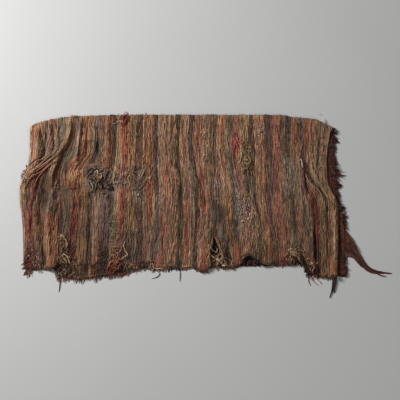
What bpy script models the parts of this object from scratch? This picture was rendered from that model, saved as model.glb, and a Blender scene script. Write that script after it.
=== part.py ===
"""A worn, striped wool blanket, folded once across its stripes and laid flat.

The cloth lies on Z = 0, with its fold at +Y and its open ends at -Y. Places on it are charted the way a
weaver charts a cloth: ribs are counted across from the left edge, and rows down from the fold.
"""

import math
import random

import bmesh
import bpy
import numpy as np
from mathutils import Vector

RIB = 0.0045  # one rib of warp, across the cloth
ROW = 0.00475  # one charted row, down the cloth
ORIGIN_RIB = 160.0
ORIGIN_ROW = 80.0

CLOTH = 0.003  # thickness of the felted wool
LAYER_GAP = 0.0015  # air between the two layers where they lie flat
FOLD_RADIUS = 0.007  # radius of the cloth's middle round the fold
FOLD_SETTLE = 0.040  # run over which the bulge at the fold sinks
UPPER = CLOTH + LAYER_GAP + CLOTH / 2  # height of the upper layer's middle
LOWER = CLOTH / 2  # height of the middle of cloth that lies on the surface

BACK_STEPS = 6  # grid rows of the under layer, of the bend and of the upper layer
BEND_STEPS = 6
FRONT_STEPS = 25
FINER_AT_FOLD = 0.35  # share by which the upper layer's rows are drawn in towards the fold

# The fold's outermost line and both ragged ends, as (rib, row).
FOLD_LINE = [(9, 12), (20, 7), (36, 3.5), (52, 1.5), (100, 0), (262, 0), (271, 2), (297, 4.5), (304, 8.5), (313, 12.5)]
FRONT_HEM = [
    (4, 153), (15, 154), (34, 154), (40, 150), (56, 149), (66, 150), (72, 151), (80, 147), (86, 152), (92, 156),
    (104, 156), (110, 155), (120, 154), (126, 147.5), (131, 154), (142, 154), (150, 152), (160, 154.5), (172, 152),
    (180, 156.5), (187, 156), (190, 152), (204, 152), (214, 152.5), (221, 149), (226, 142), (231, 141.5), (237, 147),
    (242, 150), (256, 150.5), (268, 149.5), (280, 148), (284, 152), (290, 158), (297, 162), (317, 163),
]
BACK_HEM = [
    (4, 144), (30, 144), (38, 161), (60, 163.5), (80, 161), (95, 158.5), (106, 160), (114, 156), (120, 144),
    (178, 144), (186, 152), (212, 152), (222, 151), (240, 150.5), (247, 144), (290, 144), (300, 156), (312, 160),
    (325, 161.5),
]

# Where the cloth's own lines run, in ribs, at these rows down the upper layer.
LEVELS = (0, 20, 40, 55, 70, 85, 105, 130, 153)
GUIDES = {
    "left edge": (9, 9, 8.9, 7.3, 0.3, -0.2, 3.2, 4.5, 4.5),
    "pleat crest": (49.5, 48.5, 38.5, 33, 31, 32, 28.5, 25, 28),
    "thin ridge": (57, 57.5, 55.5, 44.5, 44, 46, 44, 42, 42),
    "pale band": (79.5, 79.5, 77, 70, 70, 73.5, 72.5, 72, 72),
    "tear": (194, 194, 194, 195, 196, 197, 196, 195, 196.5),
    "slit": (293, 292, 291, 290.5, 291.5, 293.5, 294.5, 295.5, 295),
    "right edge": (313, 310.5, 307.5, 307.5, 311, 316.5, 318, 317.5, 316.5),
}
# Grid columns between one guide and the next.
COLUMNS = (12, 3, 6, 20, 17, 5)
# A rip in the upper layer, open at its hem: the guide it follows, the row of its tip, the row where it is
# fully open, and its width there in ribs.
RIPS = {"tear": (121, 143, 11.0), "slit": (112, 140, 2.4)}
RIP_COLUMN = 1.6  # width in ribs of the grid column that a rip runs down, above its tip

# The under layer's side edges, in ribs, at these rows.
BACK_LEVELS = (0, 14, 40, 60, 75, 92, 110, 135, 162)
BACK_LEFT = (9, 9, 8.6, 6, 0, 1, 3, 4, 4.5)
BACK_RIGHT = (313, 313.5, 315, 316.5, 318, 321, 323.5, 324.5, 325)

# Soft folds in the upper layer: height in mm, slack to the left and to the right in ribs, and the crest as
# (row, rib). Each dies out over FOLD_END rows at both ends.
FOLD_END = 7.0
FOLDS = {
    "long pleat": (17, 8, 3, [(1, 50), (17, 49), (27, 46), (39, 38.5), (53, 32.5), (66, 30), (82, 31)]),
    "thin ridge": (8, 2.4, 2.6, [(2, 59), (20, 59), (35, 55.5), (48, 56)]),
    "pulled bulge": (11, 5, 8, [(26, 63), (40, 57), (55, 50), (70, 50), (88, 55)]),
    "tangled knot": (8, 5, 6, [(46, 78), (56, 74), (66, 70), (76, 69)]),
    "left shoulder": (8, 4, 7, [(8, 16), (35, 15), (52, 15), (66, 11)]),
    "left lobe": (7, 4, 4, [(62, 9), (72, 4), (84, 3), (100, 8), (124, 9)]),
    "split ridge": (13, 5, 5, [(90, 33), (105, 30), (120, 29), (135, 30), (156, 34)]),
    "low shoulder": (6, 4, 5, [(100, 14), (120, 17), (150, 17)]),
    "border step": (10, 6, 2.4, [(48, 282), (60, 286), (70, 292), (82, 303), (90, 310)]),
    "right roll": (7, 4, 4, [(84, 313), (110, 314), (160, 313)]),
    "bent stripes": (6, 5, 3, [(48, 150), (58, 157), (68, 166), (80, 176), (96, 178)]),
    "middle wave": (5, 10, 10, [(10, 104), (60, 106), (110, 104), (150, 98)]),
    "second wave": (5, 9, 9, [(6, 148), (50, 148), (100, 148), (150, 145)]),
    "third wave": (5, 8, 9, [(20, 184), (70, 187), (120, 186), (150, 186)]),
    "fourth wave": (6, 9, 9, [(16, 222), (60, 224), (100, 227), (140, 226)]),
    "fifth wave": (5, 8, 8, [(6, 257), (60, 260), (110, 264), (146, 266)]),
    "sixth wave": (5, 6, 6, [(6, 275), (50, 277), (90, 288)]),
}

# Frayed edges: each is a backing parted from the cloth's edge, with tapering locks rooted in it.
FRINGE_PARTING = 0.0008
BACKING_WIDTH = 0.004
BACKING_THICKNESS = 0.0024
LOCK_PITCH = 0.006  # width of a lock's root, and of the space to the next one
LOCK_STEPS = 3
FRONT_REACH = (0.006, 0.024)  # shortest and longest lock
BACK_REACH = (0.010, 0.034)
SIDE_REACH = (0.006, 0.022)
UNDER_FRAY = 9.0  # rows by which the under layer's frayed end outreaches its cloth
UNDER_FRAY_RIBS = (38.0, 112.0)  # stretch of the under layer's end that shows, and is frayed
SIDE_FRINGES = {"side_fringe_lower": (160.0, 142.0), "side_fringe_upper": (106.0, 17.0)}
# Single loose ends that reach further over the surface: (rib, length in rows).
LONG_ENDS = {
    "front_fringe_left": ((136, 8), (161, 9)),
    "front_fringe_right": ((311, 16), (314, 13)),
    "back_fringe": ((40, 12),),
}

TRAILING_ROWS = (122.0, 110.0)  # stretch of the border that the trailing lock is torn from
TRAILING_ROUTE = [
    (325.5, 116), (329, 118), (331, 124), (333, 132), (335.5, 139.5), (339.5, 146), (345, 151.5), (352, 155),
    (361, 156.5), (370, 157.7),
]
TRAILING_ENDS = (0.70, 0.86, 0.94, 1.0, 0.9, 0.78, 0.66)  # share of the route that each yarn reaches
TRAILING_PITCH = 0.0034  # from yarn to yarn where they are gathered, and half of that at the tip
TRAILING_GATHER = 0.16  # share of the route over which they gather
TRAILING_STEPS = 13

CLOTH_COLOUR = (0.20, 0.105, 0.055, 1.0)
BORDER_COLOUR = (0.105, 0.022, 0.02, 1.0)
FRAYED_COLOUR = (0.22, 0.14, 0.08, 1.0)
WOOL_ROUGHNESS = 0.92


def world_x(rib):
    return (rib - ORIGIN_RIB) * RIB


def world_y(row):
    return (ORIGIN_ROW - row) * ROW


def ease(value):
    """Smooth step from 0 at value 0 to 1 at value 1."""
    t = np.clip(value, 0.0, 1.0)
    return t * t * (3 - 2 * t)


def along(table, at):
    """Straight runs through a table of (place, value) pairs."""
    places, values = zip(*table)
    return np.interp(at, places, values)


def curve(levels, values, at):
    """Smooth curve through values given at levels: a cubic on each stretch, with the slopes of its neighbours."""
    levels = np.asarray(levels, float)
    values = np.asarray(values, float)
    slopes = np.gradient(values, levels)
    start = np.clip(np.searchsorted(levels, at) - 1, 0, len(levels) - 2)
    run = levels[start + 1] - levels[start]
    t = np.clip((at - levels[start]) / run, 0.0, 1.0)
    rise = (3 - 2 * t) * t * t
    return (
        values[start] * (1 - rise)
        + values[start + 1] * rise
        + slopes[start] * run * t * (1 - t) ** 2
        - slopes[start + 1] * run * (1 - t) * t**2
    )


def rip_width(name, row):
    """Width in ribs of a rip's grid column: even above the tip, narrow at it, then opening to the hem."""
    tip, open_row, width = RIPS[name]
    above = RIP_COLUMN - 0.8 * ease((row - tip + 25) / 25)
    return above + (width - above) * ease((row - tip) / (open_row - tip))


def front_ribs(row):
    """Rib of each column of the upper layer, for rows given as an array with the columns last."""
    lines = []
    for name, values in GUIDES.items():
        middle = curve(LEVELS, values, row)
        if name in RIPS:
            half = rip_width(name, row) / 2
            lines += [middle - half, middle + half]
        else:
            lines.append(middle)
    lines = np.array(lines)
    guide, share = column_guides()
    picked = np.arange(len(guide))
    left = lines[guide, ..., picked].T
    right = lines[guide + 1, ..., picked].T
    return left + (right - left) * share


def column_guides():
    """For each column, the line at or left of it, and its share of the way to the next line."""
    guide, share = [], []
    line = 0
    for name, count in zip(list(GUIDES)[1:], COLUMNS):
        guide += [line] * count
        share += [step / count for step in range(count)]
        line += 1
        if name in RIPS:
            guide.append(line)
            share.append(0.0)
            line += 1
    guide.append(line - 1)
    share.append(1.0)
    return np.array(guide), np.array(share)


def rip_columns():
    """Grid column that each rip runs down."""
    found, column = {}, 0
    for name, count in zip(list(GUIDES)[1:], COLUMNS):
        column += count
        if name in RIPS:
            found[name] = column
            column += 1
    return found


def under_reach(rib):
    """Row that the under layer and its frayed end reach, with its neighbours' reach on either side."""
    reach = np.full(np.shape(rib), -np.inf)
    for side in (-6, 0, 6):
        place = rib + side
        frayed = (place > UNDER_FRAY_RIBS[0]) & (place < UNDER_FRAY_RIBS[1])
        reach = np.maximum(reach, along(BACK_HEM, place) + np.where(frayed, UNDER_FRAY, 0.0))
    return reach


def lying_height(rib, row):
    """Middle of the upper layer: on the under layer, and down on the surface past the under layer's end."""
    past = ease((row - under_reach(rib) - 1.5) / 4.5)
    return UPPER + (LOWER - UPPER) * past


def fold_height(rib, row):
    """Sum of the soft folds: each is a bell across its crest, with its own slack on either side."""
    total = np.zeros(np.shape(rib))
    for height, left, right, crest in FOLDS.values():
        offset = rib - along(crest, row)
        slack = np.where(offset < 0, left, right)
        ends = ease((row - crest[0][0] + FOLD_END) / FOLD_END) * ease((crest[-1][0] + FOLD_END - row) / FOLD_END)
        total += height / 1000 * np.exp(-((offset / slack) ** 2)) * ends
    return total


def cloth_points():
    """Middle surface of the cloth, as an array of rows by columns by XYZ, from the under end round to the upper."""
    columns = len(column_guides()[0])
    top_rib = front_ribs(np.zeros((1, columns)))[0]
    fold_row = along(FOLD_LINE, top_rib)
    top_rib = front_ribs(fold_row[None, :])[0]
    hem_row = along(FRONT_HEM, front_ribs(np.full((1, columns), 153.0))[0])
    across = (top_rib - top_rib[0]) / (top_rib[-1] - top_rib[0])
    bend_rows = FOLD_RADIUS / ROW

    under_end = along(BACK_HEM, BACK_LEFT[-1] + (BACK_RIGHT[-1] - BACK_LEFT[-1]) * across)
    share = np.linspace(1, 0, BACK_STEPS + 1)[:, None]
    row = fold_row + bend_rows + share * (under_end - fold_row - bend_rows)
    left = curve(BACK_LEVELS, BACK_LEFT, row)
    right = curve(BACK_LEVELS, BACK_RIGHT, row)
    settled = ease((row - fold_row - bend_rows) / 8)
    rib = top_rib + (left + (right - left) * across - top_rib) * settled
    under = np.stack([world_x(rib), world_y(row), np.full(row.shape, LOWER)], axis=-1)

    angle = np.linspace(-math.pi / 2, math.pi / 2, BEND_STEPS + 1)[1:-1, None]
    row = fold_row + bend_rows * (1 - np.cos(angle))
    height = LOWER + FOLD_RADIUS * (1 + np.sin(angle)) + 0 * row
    bend = np.stack([world_x(top_rib + 0 * row), world_y(row), height], axis=-1)

    share = np.linspace(0, 1, FRONT_STEPS + 1)[:, None]
    share = share * (1 - FINER_AT_FOLD) + share**2 * FINER_AT_FOLD
    row = fold_row + bend_rows + share * (hem_row - fold_row - bend_rows)
    past_bend = (row - fold_row - bend_rows) * ROW
    rib = top_rib + (front_ribs(row) - top_rib) * ease(past_bend / 0.02)
    bulge = (LOWER + 2 * FOLD_RADIUS - UPPER) * np.exp(-((past_bend / FOLD_SETTLE) ** 2))
    height = lying_height(rib, row) + bulge + fold_height(rib, row) * ease(past_bend / 0.03)
    upper = np.stack([world_x(rib), world_y(row), height], axis=-1)
    return np.concatenate([under, bend, upper])


def wool(name, colour):
    material = bpy.data.materials.new(name)
    material.use_nodes = True
    material.diffuse_color = colour
    shader = material.node_tree.nodes["Principled BSDF"]
    shader.inputs["Base Color"].default_value = colour
    shader.inputs["Roughness"].default_value = WOOL_ROUGHNESS
    shader.inputs["Metallic"].default_value = 0.0
    return material


def add_piece(name, builder, material, collection):
    mesh = bpy.data.meshes.new(name)
    builder.to_mesh(mesh)
    builder.free()
    mesh.materials.append(material)
    piece = bpy.data.objects.new(name, mesh)
    collection.objects.link(piece)
    return piece


def grid(builder, columns, steps):
    """A flat grid's vertices, with the column and the step of each."""
    made = bmesh.ops.create_grid(builder, x_segments=columns, y_segments=steps, size=1.0)["verts"]
    builder.verts.index_update()
    flat = np.array([vertex.co[:2] for vertex in made])
    column = np.rint((flat[:, 0] + 1) / 2 * columns).astype(int)
    step = np.rint((flat[:, 1] + 1) / 2 * steps).astype(int)
    return made, column, step


def make_cloth(points, material, collection):
    """The woven sheet: a grid laid on the middle surface, ripped open, and given the cloth's thickness."""
    steps, columns = points.shape[0] - 1, points.shape[1] - 1
    builder = bmesh.new()
    made, column, step = grid(builder, columns, steps)
    for vertex, place in zip(made, points[step, column]):
        vertex.co = place

    ripped = []
    for name, rip_column in rip_columns().items():
        upper_rows = ORIGIN_ROW - points[-FRONT_STEPS - 1:, rip_column, 1] / ROW
        first = steps - FRONT_STEPS + int(np.sum(upper_rows < RIPS[name][0]))
        for face in builder.faces:
            corners = [vertex.index for vertex in face.verts]
            if column[corners].min() == rip_column and step[corners].min() >= first:
                ripped.append(face)
    bmesh.ops.delete(builder, geom=ripped, context="FACES")

    cloth = add_piece("blanket", builder, material, collection)
    cloth.data.shade_smooth()
    thickness = cloth.modifiers.new("thickness", "SOLIDIFY")
    thickness.thickness = CLOTH
    thickness.offset = 0.0
    return cloth


def lengths_along(edge):
    """Distance of each point of an edge from its first point, measured along the edge in plan."""
    legs = np.linalg.norm(np.diff(edge[:, :2], axis=0), axis=1)
    return np.concatenate([[0.0], np.cumsum(legs)])


def run_along(edge, span, pitch):
    """Points on a span of an edge, in metres along it: the edge's own corners, each leg cut near the pitch."""
    start, end = span
    length = lengths_along(edge)
    corners = [start] + [mark for mark in length if start + pitch / 2 < mark < end - pitch / 2] + [end]
    stops = [start]
    for near, far in zip(corners, corners[1:]):
        count = max(1, round((far - near) / pitch))
        stops += list(np.linspace(near, far, count + 1)[1:])
    return np.stack([np.interp(stops, length, edge[:, axis]) for axis in range(3)], axis=1)


def make_backing(spine, outward):
    """A narrow bar beside an edge, its underside flush with the cloth's, and its outer faces in order."""
    builder = bmesh.new()
    made, stop, side = grid(builder, len(spine) - 1, 1)
    for vertex, place, reach in zip(made, spine[stop], FRINGE_PARTING + BACKING_WIDTH * side):
        vertex.co = (place[0] + outward[0] * reach, place[1] + outward[1] * reach, place[2] - CLOTH / 2)
    raised = bmesh.ops.extrude_face_region(builder, geom=list(builder.faces))["geom"]
    for vertex in (item for item in raised if isinstance(item, bmesh.types.BMVert)):
        vertex.co.z += BACKING_THICKNESS
    bmesh.ops.recalc_face_normals(builder, faces=list(builder.faces))
    outer = [face for face in builder.faces if face.normal.xy.dot(Vector(outward)) > 0.3]
    outer.sort(key=lambda face: face.calc_center_median().xy.dot(Vector((-outward[1], outward[0]))))
    return builder, outer


def grow_lock(builder, face, path, widths, floors, thicknesses):
    """Carries a backing's outer face along a path of XY points on the ground below it: one tapering lock."""
    for step in range(1, len(path)):
        heading = path[min(step + 1, len(path) - 1)] - path[step - 1]
        side = Vector((-heading[1], heading[0])).normalized()
        face = bmesh.ops.extrude_discrete_faces(builder, faces=[face])["faces"][0]
        centre = face.calc_center_median().xy
        corners = sorted(face.verts, key=lambda vertex: ((vertex.co.xy - centre).dot(side) > 0, vertex.co.z))
        for corner, hand, lift in zip(corners, (-0.5, -0.5, 0.5, 0.5), (0, thicknesses[step]) * 2):
            place = Vector(path[step]) + side * hand * widths[step]
            corner.co = (place.x, place.y, floors[step] + lift)


def make_fringe(name, edge, span, outward, reach, material, collection):
    """A backing along an edge with a lock of yarn on every other face, each of its own length and lean."""
    shortest, longest = reach
    chance = random.Random(name)
    builder, outer = make_backing(run_along(edge, span, LOCK_PITCH), outward)
    roots = [face.calc_center_median().xy for face in outer]
    wanted = {}
    for place, rows in LONG_ENDS.get(name, ()):
        nearest = min(range(1, len(outer), 2), key=lambda index: abs(roots[index].x - world_x(place)))
        wanted[nearest] = rows * ROW
    for index in range(1, len(outer), 2):
        length = wanted.get(index, shortest + (longest - shortest) * chance.random() ** 2)
        heading = math.atan2(outward[1], outward[0]) + 0.3 * math.sin(0.45 * index)
        legs = length / LOCK_STEPS * np.array([0, 1, 1, 1])
        turns = heading + 0.12 * np.arange(LOCK_STEPS + 1) * math.sin(0.31 * index)
        path = np.array(roots[index]) + np.cumsum(
            np.stack([legs * np.cos(turns), legs * np.sin(turns)], axis=1), axis=0
        )
        floor = np.zeros(len(path))
        if name.startswith("front"):
            floor = lying_height(path[:, 0] / RIB + ORIGIN_RIB, ORIGIN_ROW - path[:, 1] / ROW) - CLOTH / 2
        widths = np.linspace(0.75, 0.25, LOCK_STEPS + 1) * LOCK_PITCH
        thicknesses = np.linspace(1.0, 0.45, LOCK_STEPS + 1) * BACKING_THICKNESS
        grow_lock(builder, outer[index], path, widths, floor, thicknesses)
    return add_piece(name, builder, material, collection)


def make_trailing_lock(edge, span, material, collection):
    """Border yarns torn loose: they gather into one bundle that curves away over the surface and thins out."""
    pitch = (span[1] - span[0]) / (2 * len(TRAILING_ENDS) + 1)
    builder, outer = make_backing(run_along(edge, span, pitch), (1.0, 0.0))
    route = np.array([(world_x(rib), world_y(row)) for rib, row in TRAILING_ROUTE])
    level = lengths_along(route)
    roots = np.array([face.calc_center_median().xy for face in outer[1::2]])
    middle = (len(TRAILING_ENDS) - 1) / 2
    for index, share in enumerate(TRAILING_ENDS):
        place = np.linspace(0, share, TRAILING_STEPS + 1) * level[-1]
        line = np.stack([curve(level, route[:, axis], place) for axis in range(2)], axis=1)
        heading = np.gradient(line, axis=0)
        heading /= np.linalg.norm(heading, axis=1, keepdims=True)
        beside = np.stack([-heading[:, 1], heading[:, 0]], axis=1)
        gathered = ease(place / (TRAILING_GATHER * level[-1]))[:, None]
        apart = TRAILING_PITCH * (1 - 0.5 * place / level[-1])[:, None]
        path = line + (1 - gathered) * (roots[index] - line[0]) + gathered * (index - middle) * apart * beside
        widths = 0.7 * apart[:, 0]
        thicknesses = np.linspace(1.0, 0.45, TRAILING_STEPS + 1) * BACKING_THICKNESS
        grow_lock(builder, outer[1::2][index], path, widths, np.zeros(len(path)), thicknesses)
    return add_piece("trailing_lock", builder, material, collection)


def span_of_rows(edge, rows):
    """The lengths along a side edge, which runs up the cloth, at which it crosses two rows."""
    return np.interp([world_y(row) for row in rows], edge[:, 1], lengths_along(edge))


def span_of_ribs(edge, ribs):
    """The lengths along an end, which runs from left to right, at which it crosses two ribs."""
    return np.interp([world_x(rib) for rib in ribs], edge[:, 0], lengths_along(edge))


def main():
    for item in list(bpy.data.objects):
        bpy.data.objects.remove(item, do_unlink=True)
    collection = bpy.data.collections.new("blanket")
    bpy.context.scene.collection.children.link(collection)
    cloth_wool = wool("striped wool", CLOTH_COLOUR)
    border_wool = wool("dark border wool", BORDER_COLOUR)
    frayed_wool = wool("frayed warp ends", FRAYED_COLOUR)

    points = cloth_points()
    make_cloth(points, cloth_wool, collection)

    hem = points[-1]
    tear, slit = rip_columns()["tear"], rip_columns()["slit"]
    stretches = {
        "front_fringe_left": hem[: tear + 1],
        "front_fringe_middle": hem[tear + 1 : slit + 1],
        "front_fringe_right": hem[slit + 1 :],
    }
    for name, edge in stretches.items():
        span = (0.0, lengths_along(edge)[-1])
        make_fringe(name, edge, span, (0.0, -1.0), FRONT_REACH, frayed_wool, collection)

    under_end = points[0]
    span = span_of_ribs(under_end, UNDER_FRAY_RIBS)
    make_fringe("back_fringe", under_end, span, (0.0, -1.0), BACK_REACH, frayed_wool, collection)

    side = points[: BACK_STEPS + 1, -1]
    for name, rows in SIDE_FRINGES.items():
        make_fringe(name, side, span_of_rows(side, rows), (1.0, 0.0), SIDE_REACH, border_wool, collection)
    make_trailing_lock(side, span_of_rows(side, TRAILING_ROWS), border_wool, collection)


main()
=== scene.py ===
"""Looks of a worn, striped wool blanket, folded once across its stripes and laid flat.

Places on the cloth are charted as a weaver charts them: ribs across from the left, rows down from the fold.
"""

import math

import bpy
import numpy as np
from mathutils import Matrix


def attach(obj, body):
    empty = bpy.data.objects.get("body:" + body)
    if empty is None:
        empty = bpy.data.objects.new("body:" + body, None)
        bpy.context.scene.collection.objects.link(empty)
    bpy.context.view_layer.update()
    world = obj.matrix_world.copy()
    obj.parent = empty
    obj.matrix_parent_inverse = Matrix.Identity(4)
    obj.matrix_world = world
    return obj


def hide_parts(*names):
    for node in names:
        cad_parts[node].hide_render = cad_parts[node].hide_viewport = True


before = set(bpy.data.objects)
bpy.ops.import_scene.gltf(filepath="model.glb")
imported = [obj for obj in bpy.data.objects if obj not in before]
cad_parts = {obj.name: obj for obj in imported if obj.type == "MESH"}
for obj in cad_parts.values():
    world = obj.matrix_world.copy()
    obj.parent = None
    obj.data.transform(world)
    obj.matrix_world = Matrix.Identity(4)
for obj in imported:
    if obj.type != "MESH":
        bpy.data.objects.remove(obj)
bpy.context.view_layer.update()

# The woven cloth, as it lies.
# One length of coarse warp-faced wool, 3 mm thick, folded once across its stripes with the fold at the back.
# It has lain in this fold for years: pleats, waves and a pulled bulge have set in the upper layer.

RIB = 0.0045  # one rib of warp, across the cloth
ROW = 0.00475  # one charted row, down the cloth
MIDDLE_RIB = 160.0
MIDDLE_ROW = 80.0

THICKNESS = 0.003
FOLD_RADIUS = 0.007
BEND_ROWS = FOLD_RADIUS / ROW
FOLD_SETTLE = 0.040  # run over which the bulge at the fold sinks
LOW = THICKNESS / 2  # middle of cloth that lies on the floor
HIGH = LOW + THICKNESS + 0.0015  # middle of cloth that lies on the other layer

LEVELS = np.array([0, 20, 40, 55, 70, 85, 105, 130, 153.0])
# Lines of warp down the upper layer: the line's own place in the cloth, in ribs, and the rib that it lies on
# at each of those rows. Between crest and valley the pleat hides some ribs at the fold.
WARP_LINES = {
    "left edge": (9, [9, 9, 8.9, 7.3, 0.3, -0.2, 3.2, 4.5, 4.5]),
    "pleat crest": (49.5, [49.5, 48.5, 38.5, 33, 31, 32, 28.5, 25, 28]),
    "valley left": (58, [50.1, 50.5, 41.5, 36, 36.5, 38, 40, 39, 38]),
    "thin ridge": (65, [57, 57.5, 55.5, 44.5, 44, 46, 44, 42, 42]),
    "salmon left": (68.5, [60.5, 60, 58, 46.5, 46.5, 52, 51, 49.5, 48]),
    "salmon right": (80, [72, 70.5, 69, 61, 59, 60, 58.5, 56, 56]),
    "ochre right": (84, [76, 74.5, 72, 65.5, 66.5, 68.5, 68, 67.5, 67]),
    "pale band": (87.5, [79.5, 79.5, 77, 70, 70, 73.5, 72.5, 72, 72]),
    "orange left": (91.5, [83.5, 83.5, 83, 80, 81, 81, 80, 75.5, 76]),
    "first dark": (100, [92, 91, 90.5, 89, 87, 90, 86, 81, 80.5]),
    "first cream": (104.5, [96.5, 95.5, 95, 92.5, 93, 93, 91, 88.5, 88]),
    "red left": (107.5, [99.5, 99.5, 99, 99, 99, 99, 99, 96.5, 89]),
    "red right": (116, [108, 107.5, 108, 107, 106, 106, 105, 104, 99]),
    "second dark": (125, [117, 116.5, 116, 115.5, 116, 116.5, 116.5, 116.5, 114.5]),
    "third dark": (140, [132, 132, 131.5, 132, 133.5, 134, 134, 131.5, 130]),
    "fourth dark": (164, [156, 155.5, 155, 156.5, 158.5, 158, 158, 157, 155.5]),
    "fifth dark": (177, [169, 168, 168.5, 170.5, 173.5, 174, 174.5, 173.5, 172]),
    "sixth dark": (199.5, [191.5, 192, 191, 192, 193, 194, 194, 191, 190]),
    "tear": (202, [194, 194, 194, 195, 196, 197, 196, 195, 196.5]),
    "sixth right": (204.5, [196.5, 196.5, 196.5, 198, 201, 202, 205, 203, 203.5]),
    "grey left": (214, [206, 205, 204.5, 207, 211, 212, 211, 209.5, 210]),
    "grey right": (219, [211, 210.5, 210.5, 212, 216, 219, 216.5, 214, 213.5]),
    "eighth dark": (236.5, [228.5, 229, 230.5, 231, 232, 233.5, 237.5, 237.5, 237.5]),
    "ninth dark": (252, [244, 244.5, 245.5, 245.5, 245.5, 246, 248.5, 251, 251]),
    "tenth dark": (273, [265, 265, 266, 269, 269.5, 270, 271.5, 273, 273]),
    "eleventh dark": (288, [280, 279.5, 280, 280.5, 281, 282.5, 284, 287.5, 288]),
    "slit": (301, [293, 292, 291, 290.5, 291.5, 293.5, 294.5, 295.5, 295]),
    "olive left": (304, [296, 296, 295, 294.5, 296, 299.5, 300, 301, 301]),
    "right edge": (321, [313, 310.5, 307.5, 307.5, 308.8, 316.5, 318, 317.5, 316.5]),
}
LEFT_EDGE = WARP_LINES["left edge"][0]
RIGHT_EDGE = WARP_LINES["right edge"][0]
# A rip opens from its tip to the hem: row of its tip, row where it is fully open, and width there in ribs.
RIPS = {"tear": (121, 143, 11.0), "slit": (112, 140, 2.4)}
RIP_SPAN = 0.8  # ribs of the cloth that a rip's own column of the mesh takes up

# The fold's outermost line and both ragged ends, as (rib, row).
FOLD_LINE = [
    (9, 12), (20, 7), (36, 3.5), (52, 1.5), (100, 0), (262, 0), (271, 2), (297, 4.5), (304, 8.5), (313, 12.5),
]
FRONT_HEM = [
    (4, 153), (15, 154), (34, 154), (40, 150), (56, 149), (66, 150), (72, 151), (80, 147), (86, 152),
    (92, 156), (104, 156), (110, 155), (120, 154), (126, 150.5), (131, 154), (142, 154), (150, 152),
    (160, 154.5), (172, 152), (180, 156.5), (187, 156), (190, 152), (204, 152), (214, 152.5), (221, 149),
    (226, 142), (231, 141.5), (237, 147), (242, 150), (256, 150.5), (268, 149.5), (280, 148), (284, 152),
    (290, 158), (297, 162), (317, 163),
]
BACK_HEM = [
    (4, 144), (30, 144), (38, 161), (60, 163.5), (80, 161), (95, 158.5), (103, 160), (110, 156), (115, 144),
    (178, 144), (186, 152), (212, 152), (222, 151), (240, 150.5), (247, 144), (290, 144), (300, 156),
    (312, 160), (325, 161.5),
]
BACK_LEVELS = np.array([0, 14, 40, 60, 75, 92, 110, 135, 162.0])
BACK_LEFT = [9, 9, 8.6, 6, 0, 1, 3, 4, 4.5]
BACK_RIGHT = [313, 313.5, 315, 316.5, 318, 321, 323.5, 324.5, 325]
UNDER_FRAY = 9.0  # rows by which the under layer's frayed end outreaches its cloth
UNDER_FRAY_RIBS = (38.0, 112.0)
UNDER_END_GAP = 1.5  # rows past the under layer's end where the upper one starts to sink
UNDER_END_SLOPE = 4.5  # rows over which it sinks to the floor

# Soft folds in the upper layer: height in mm, slack to the left and to the right in ribs, and the crest as
# (row, rib). Each dies out over FOLD_END rows at both ends.
FOLD_END = 7.0
FOLDS = {
    "long pleat": (10, 8, 4, [(1, 50), (17, 49), (27, 46), (39, 38.5), (53, 32.5), (66, 30), (82, 31)]),
    "thin ridge": (8, 2.4, 2.6, [(2, 59), (20, 59), (35, 55.5), (48, 56)]),
    "pulled bulge": (11, 5, 8, [(26, 63), (40, 57), (55, 50), (70, 50), (88, 55)]),
    "tangled knot": (8, 5, 6, [(46, 78), (56, 74), (66, 70), (76, 69)]),
    "left shoulder": (8, 4, 7, [(8, 16), (35, 15), (52, 15), (66, 11)]),
    "left lobe": (7, 4, 4, [(62, 9), (72, 4), (84, 3), (100, 8), (124, 9)]),
    "split ridge": (13, 5, 5, [(90, 33), (105, 30), (120, 29), (135, 30), (156, 34)]),
    "low shoulder": (6, 4, 5, [(100, 14), (120, 17), (150, 17)]),
    "border step": (10, 6, 2.4, [(48, 282), (60, 286), (70, 292), (82, 303), (90, 310)]),
    "right roll": (7, 4, 4, [(84, 313), (110, 314), (160, 313)]),
    "bent stripes": (6, 5, 3, [(48, 150), (58, 157), (68, 166), (80, 176), (96, 178)]),
    "middle wave": (5, 10, 10, [(10, 104), (60, 106), (110, 104), (150, 98)]),
    "second wave": (5, 9, 9, [(6, 148), (50, 148), (100, 148), (150, 145)]),
    "third wave": (5, 8, 9, [(20, 184), (70, 187), (120, 186), (150, 186)]),
    "fourth wave": (6, 9, 9, [(16, 222), (60, 224), (100, 227), (140, 226)]),
    "fifth wave": (5, 8, 8, [(6, 257), (60, 260), (110, 264), (146, 266)]),
    "sixth wave": (5, 6, 6, [(6, 275), (50, 277), (90, 288)]),
}


def world_x(rib):
    """Metres to the right of the middle rib."""
    return (rib - MIDDLE_RIB) * RIB


def world_y(row):
    """Metres behind the middle row."""
    return (MIDDLE_ROW - row) * ROW


def ease(value):
    """Smooth step from 0 at value 0 to 1 at value 1."""
    t = np.clip(value, 0.0, 1.0)
    return t * t * (3 - 2 * t)


def along(table, at):
    """Straight runs through a table of (place, value) pairs."""
    places, values = zip(*table)
    return np.interp(at, places, values)


def curve(levels, values, at):
    """Smooth curve through values given at levels: a cubic on each stretch, with its neighbours' slopes."""
    values = np.asarray(values, float)
    slopes = np.gradient(values, levels)
    start = np.clip(np.searchsorted(levels, at) - 1, 0, len(levels) - 2)
    run = levels[start + 1] - levels[start]
    t = np.clip((at - levels[start]) / run, 0.0, 1.0)
    rise = (3 - 2 * t) * t * t
    return (
        values[start] * (1 - rise)
        + values[start + 1] * rise
        + slopes[start] * run * t * (1 - t) ** 2
        - slopes[start + 1] * run * (1 - t) * t**2
    )


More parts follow.
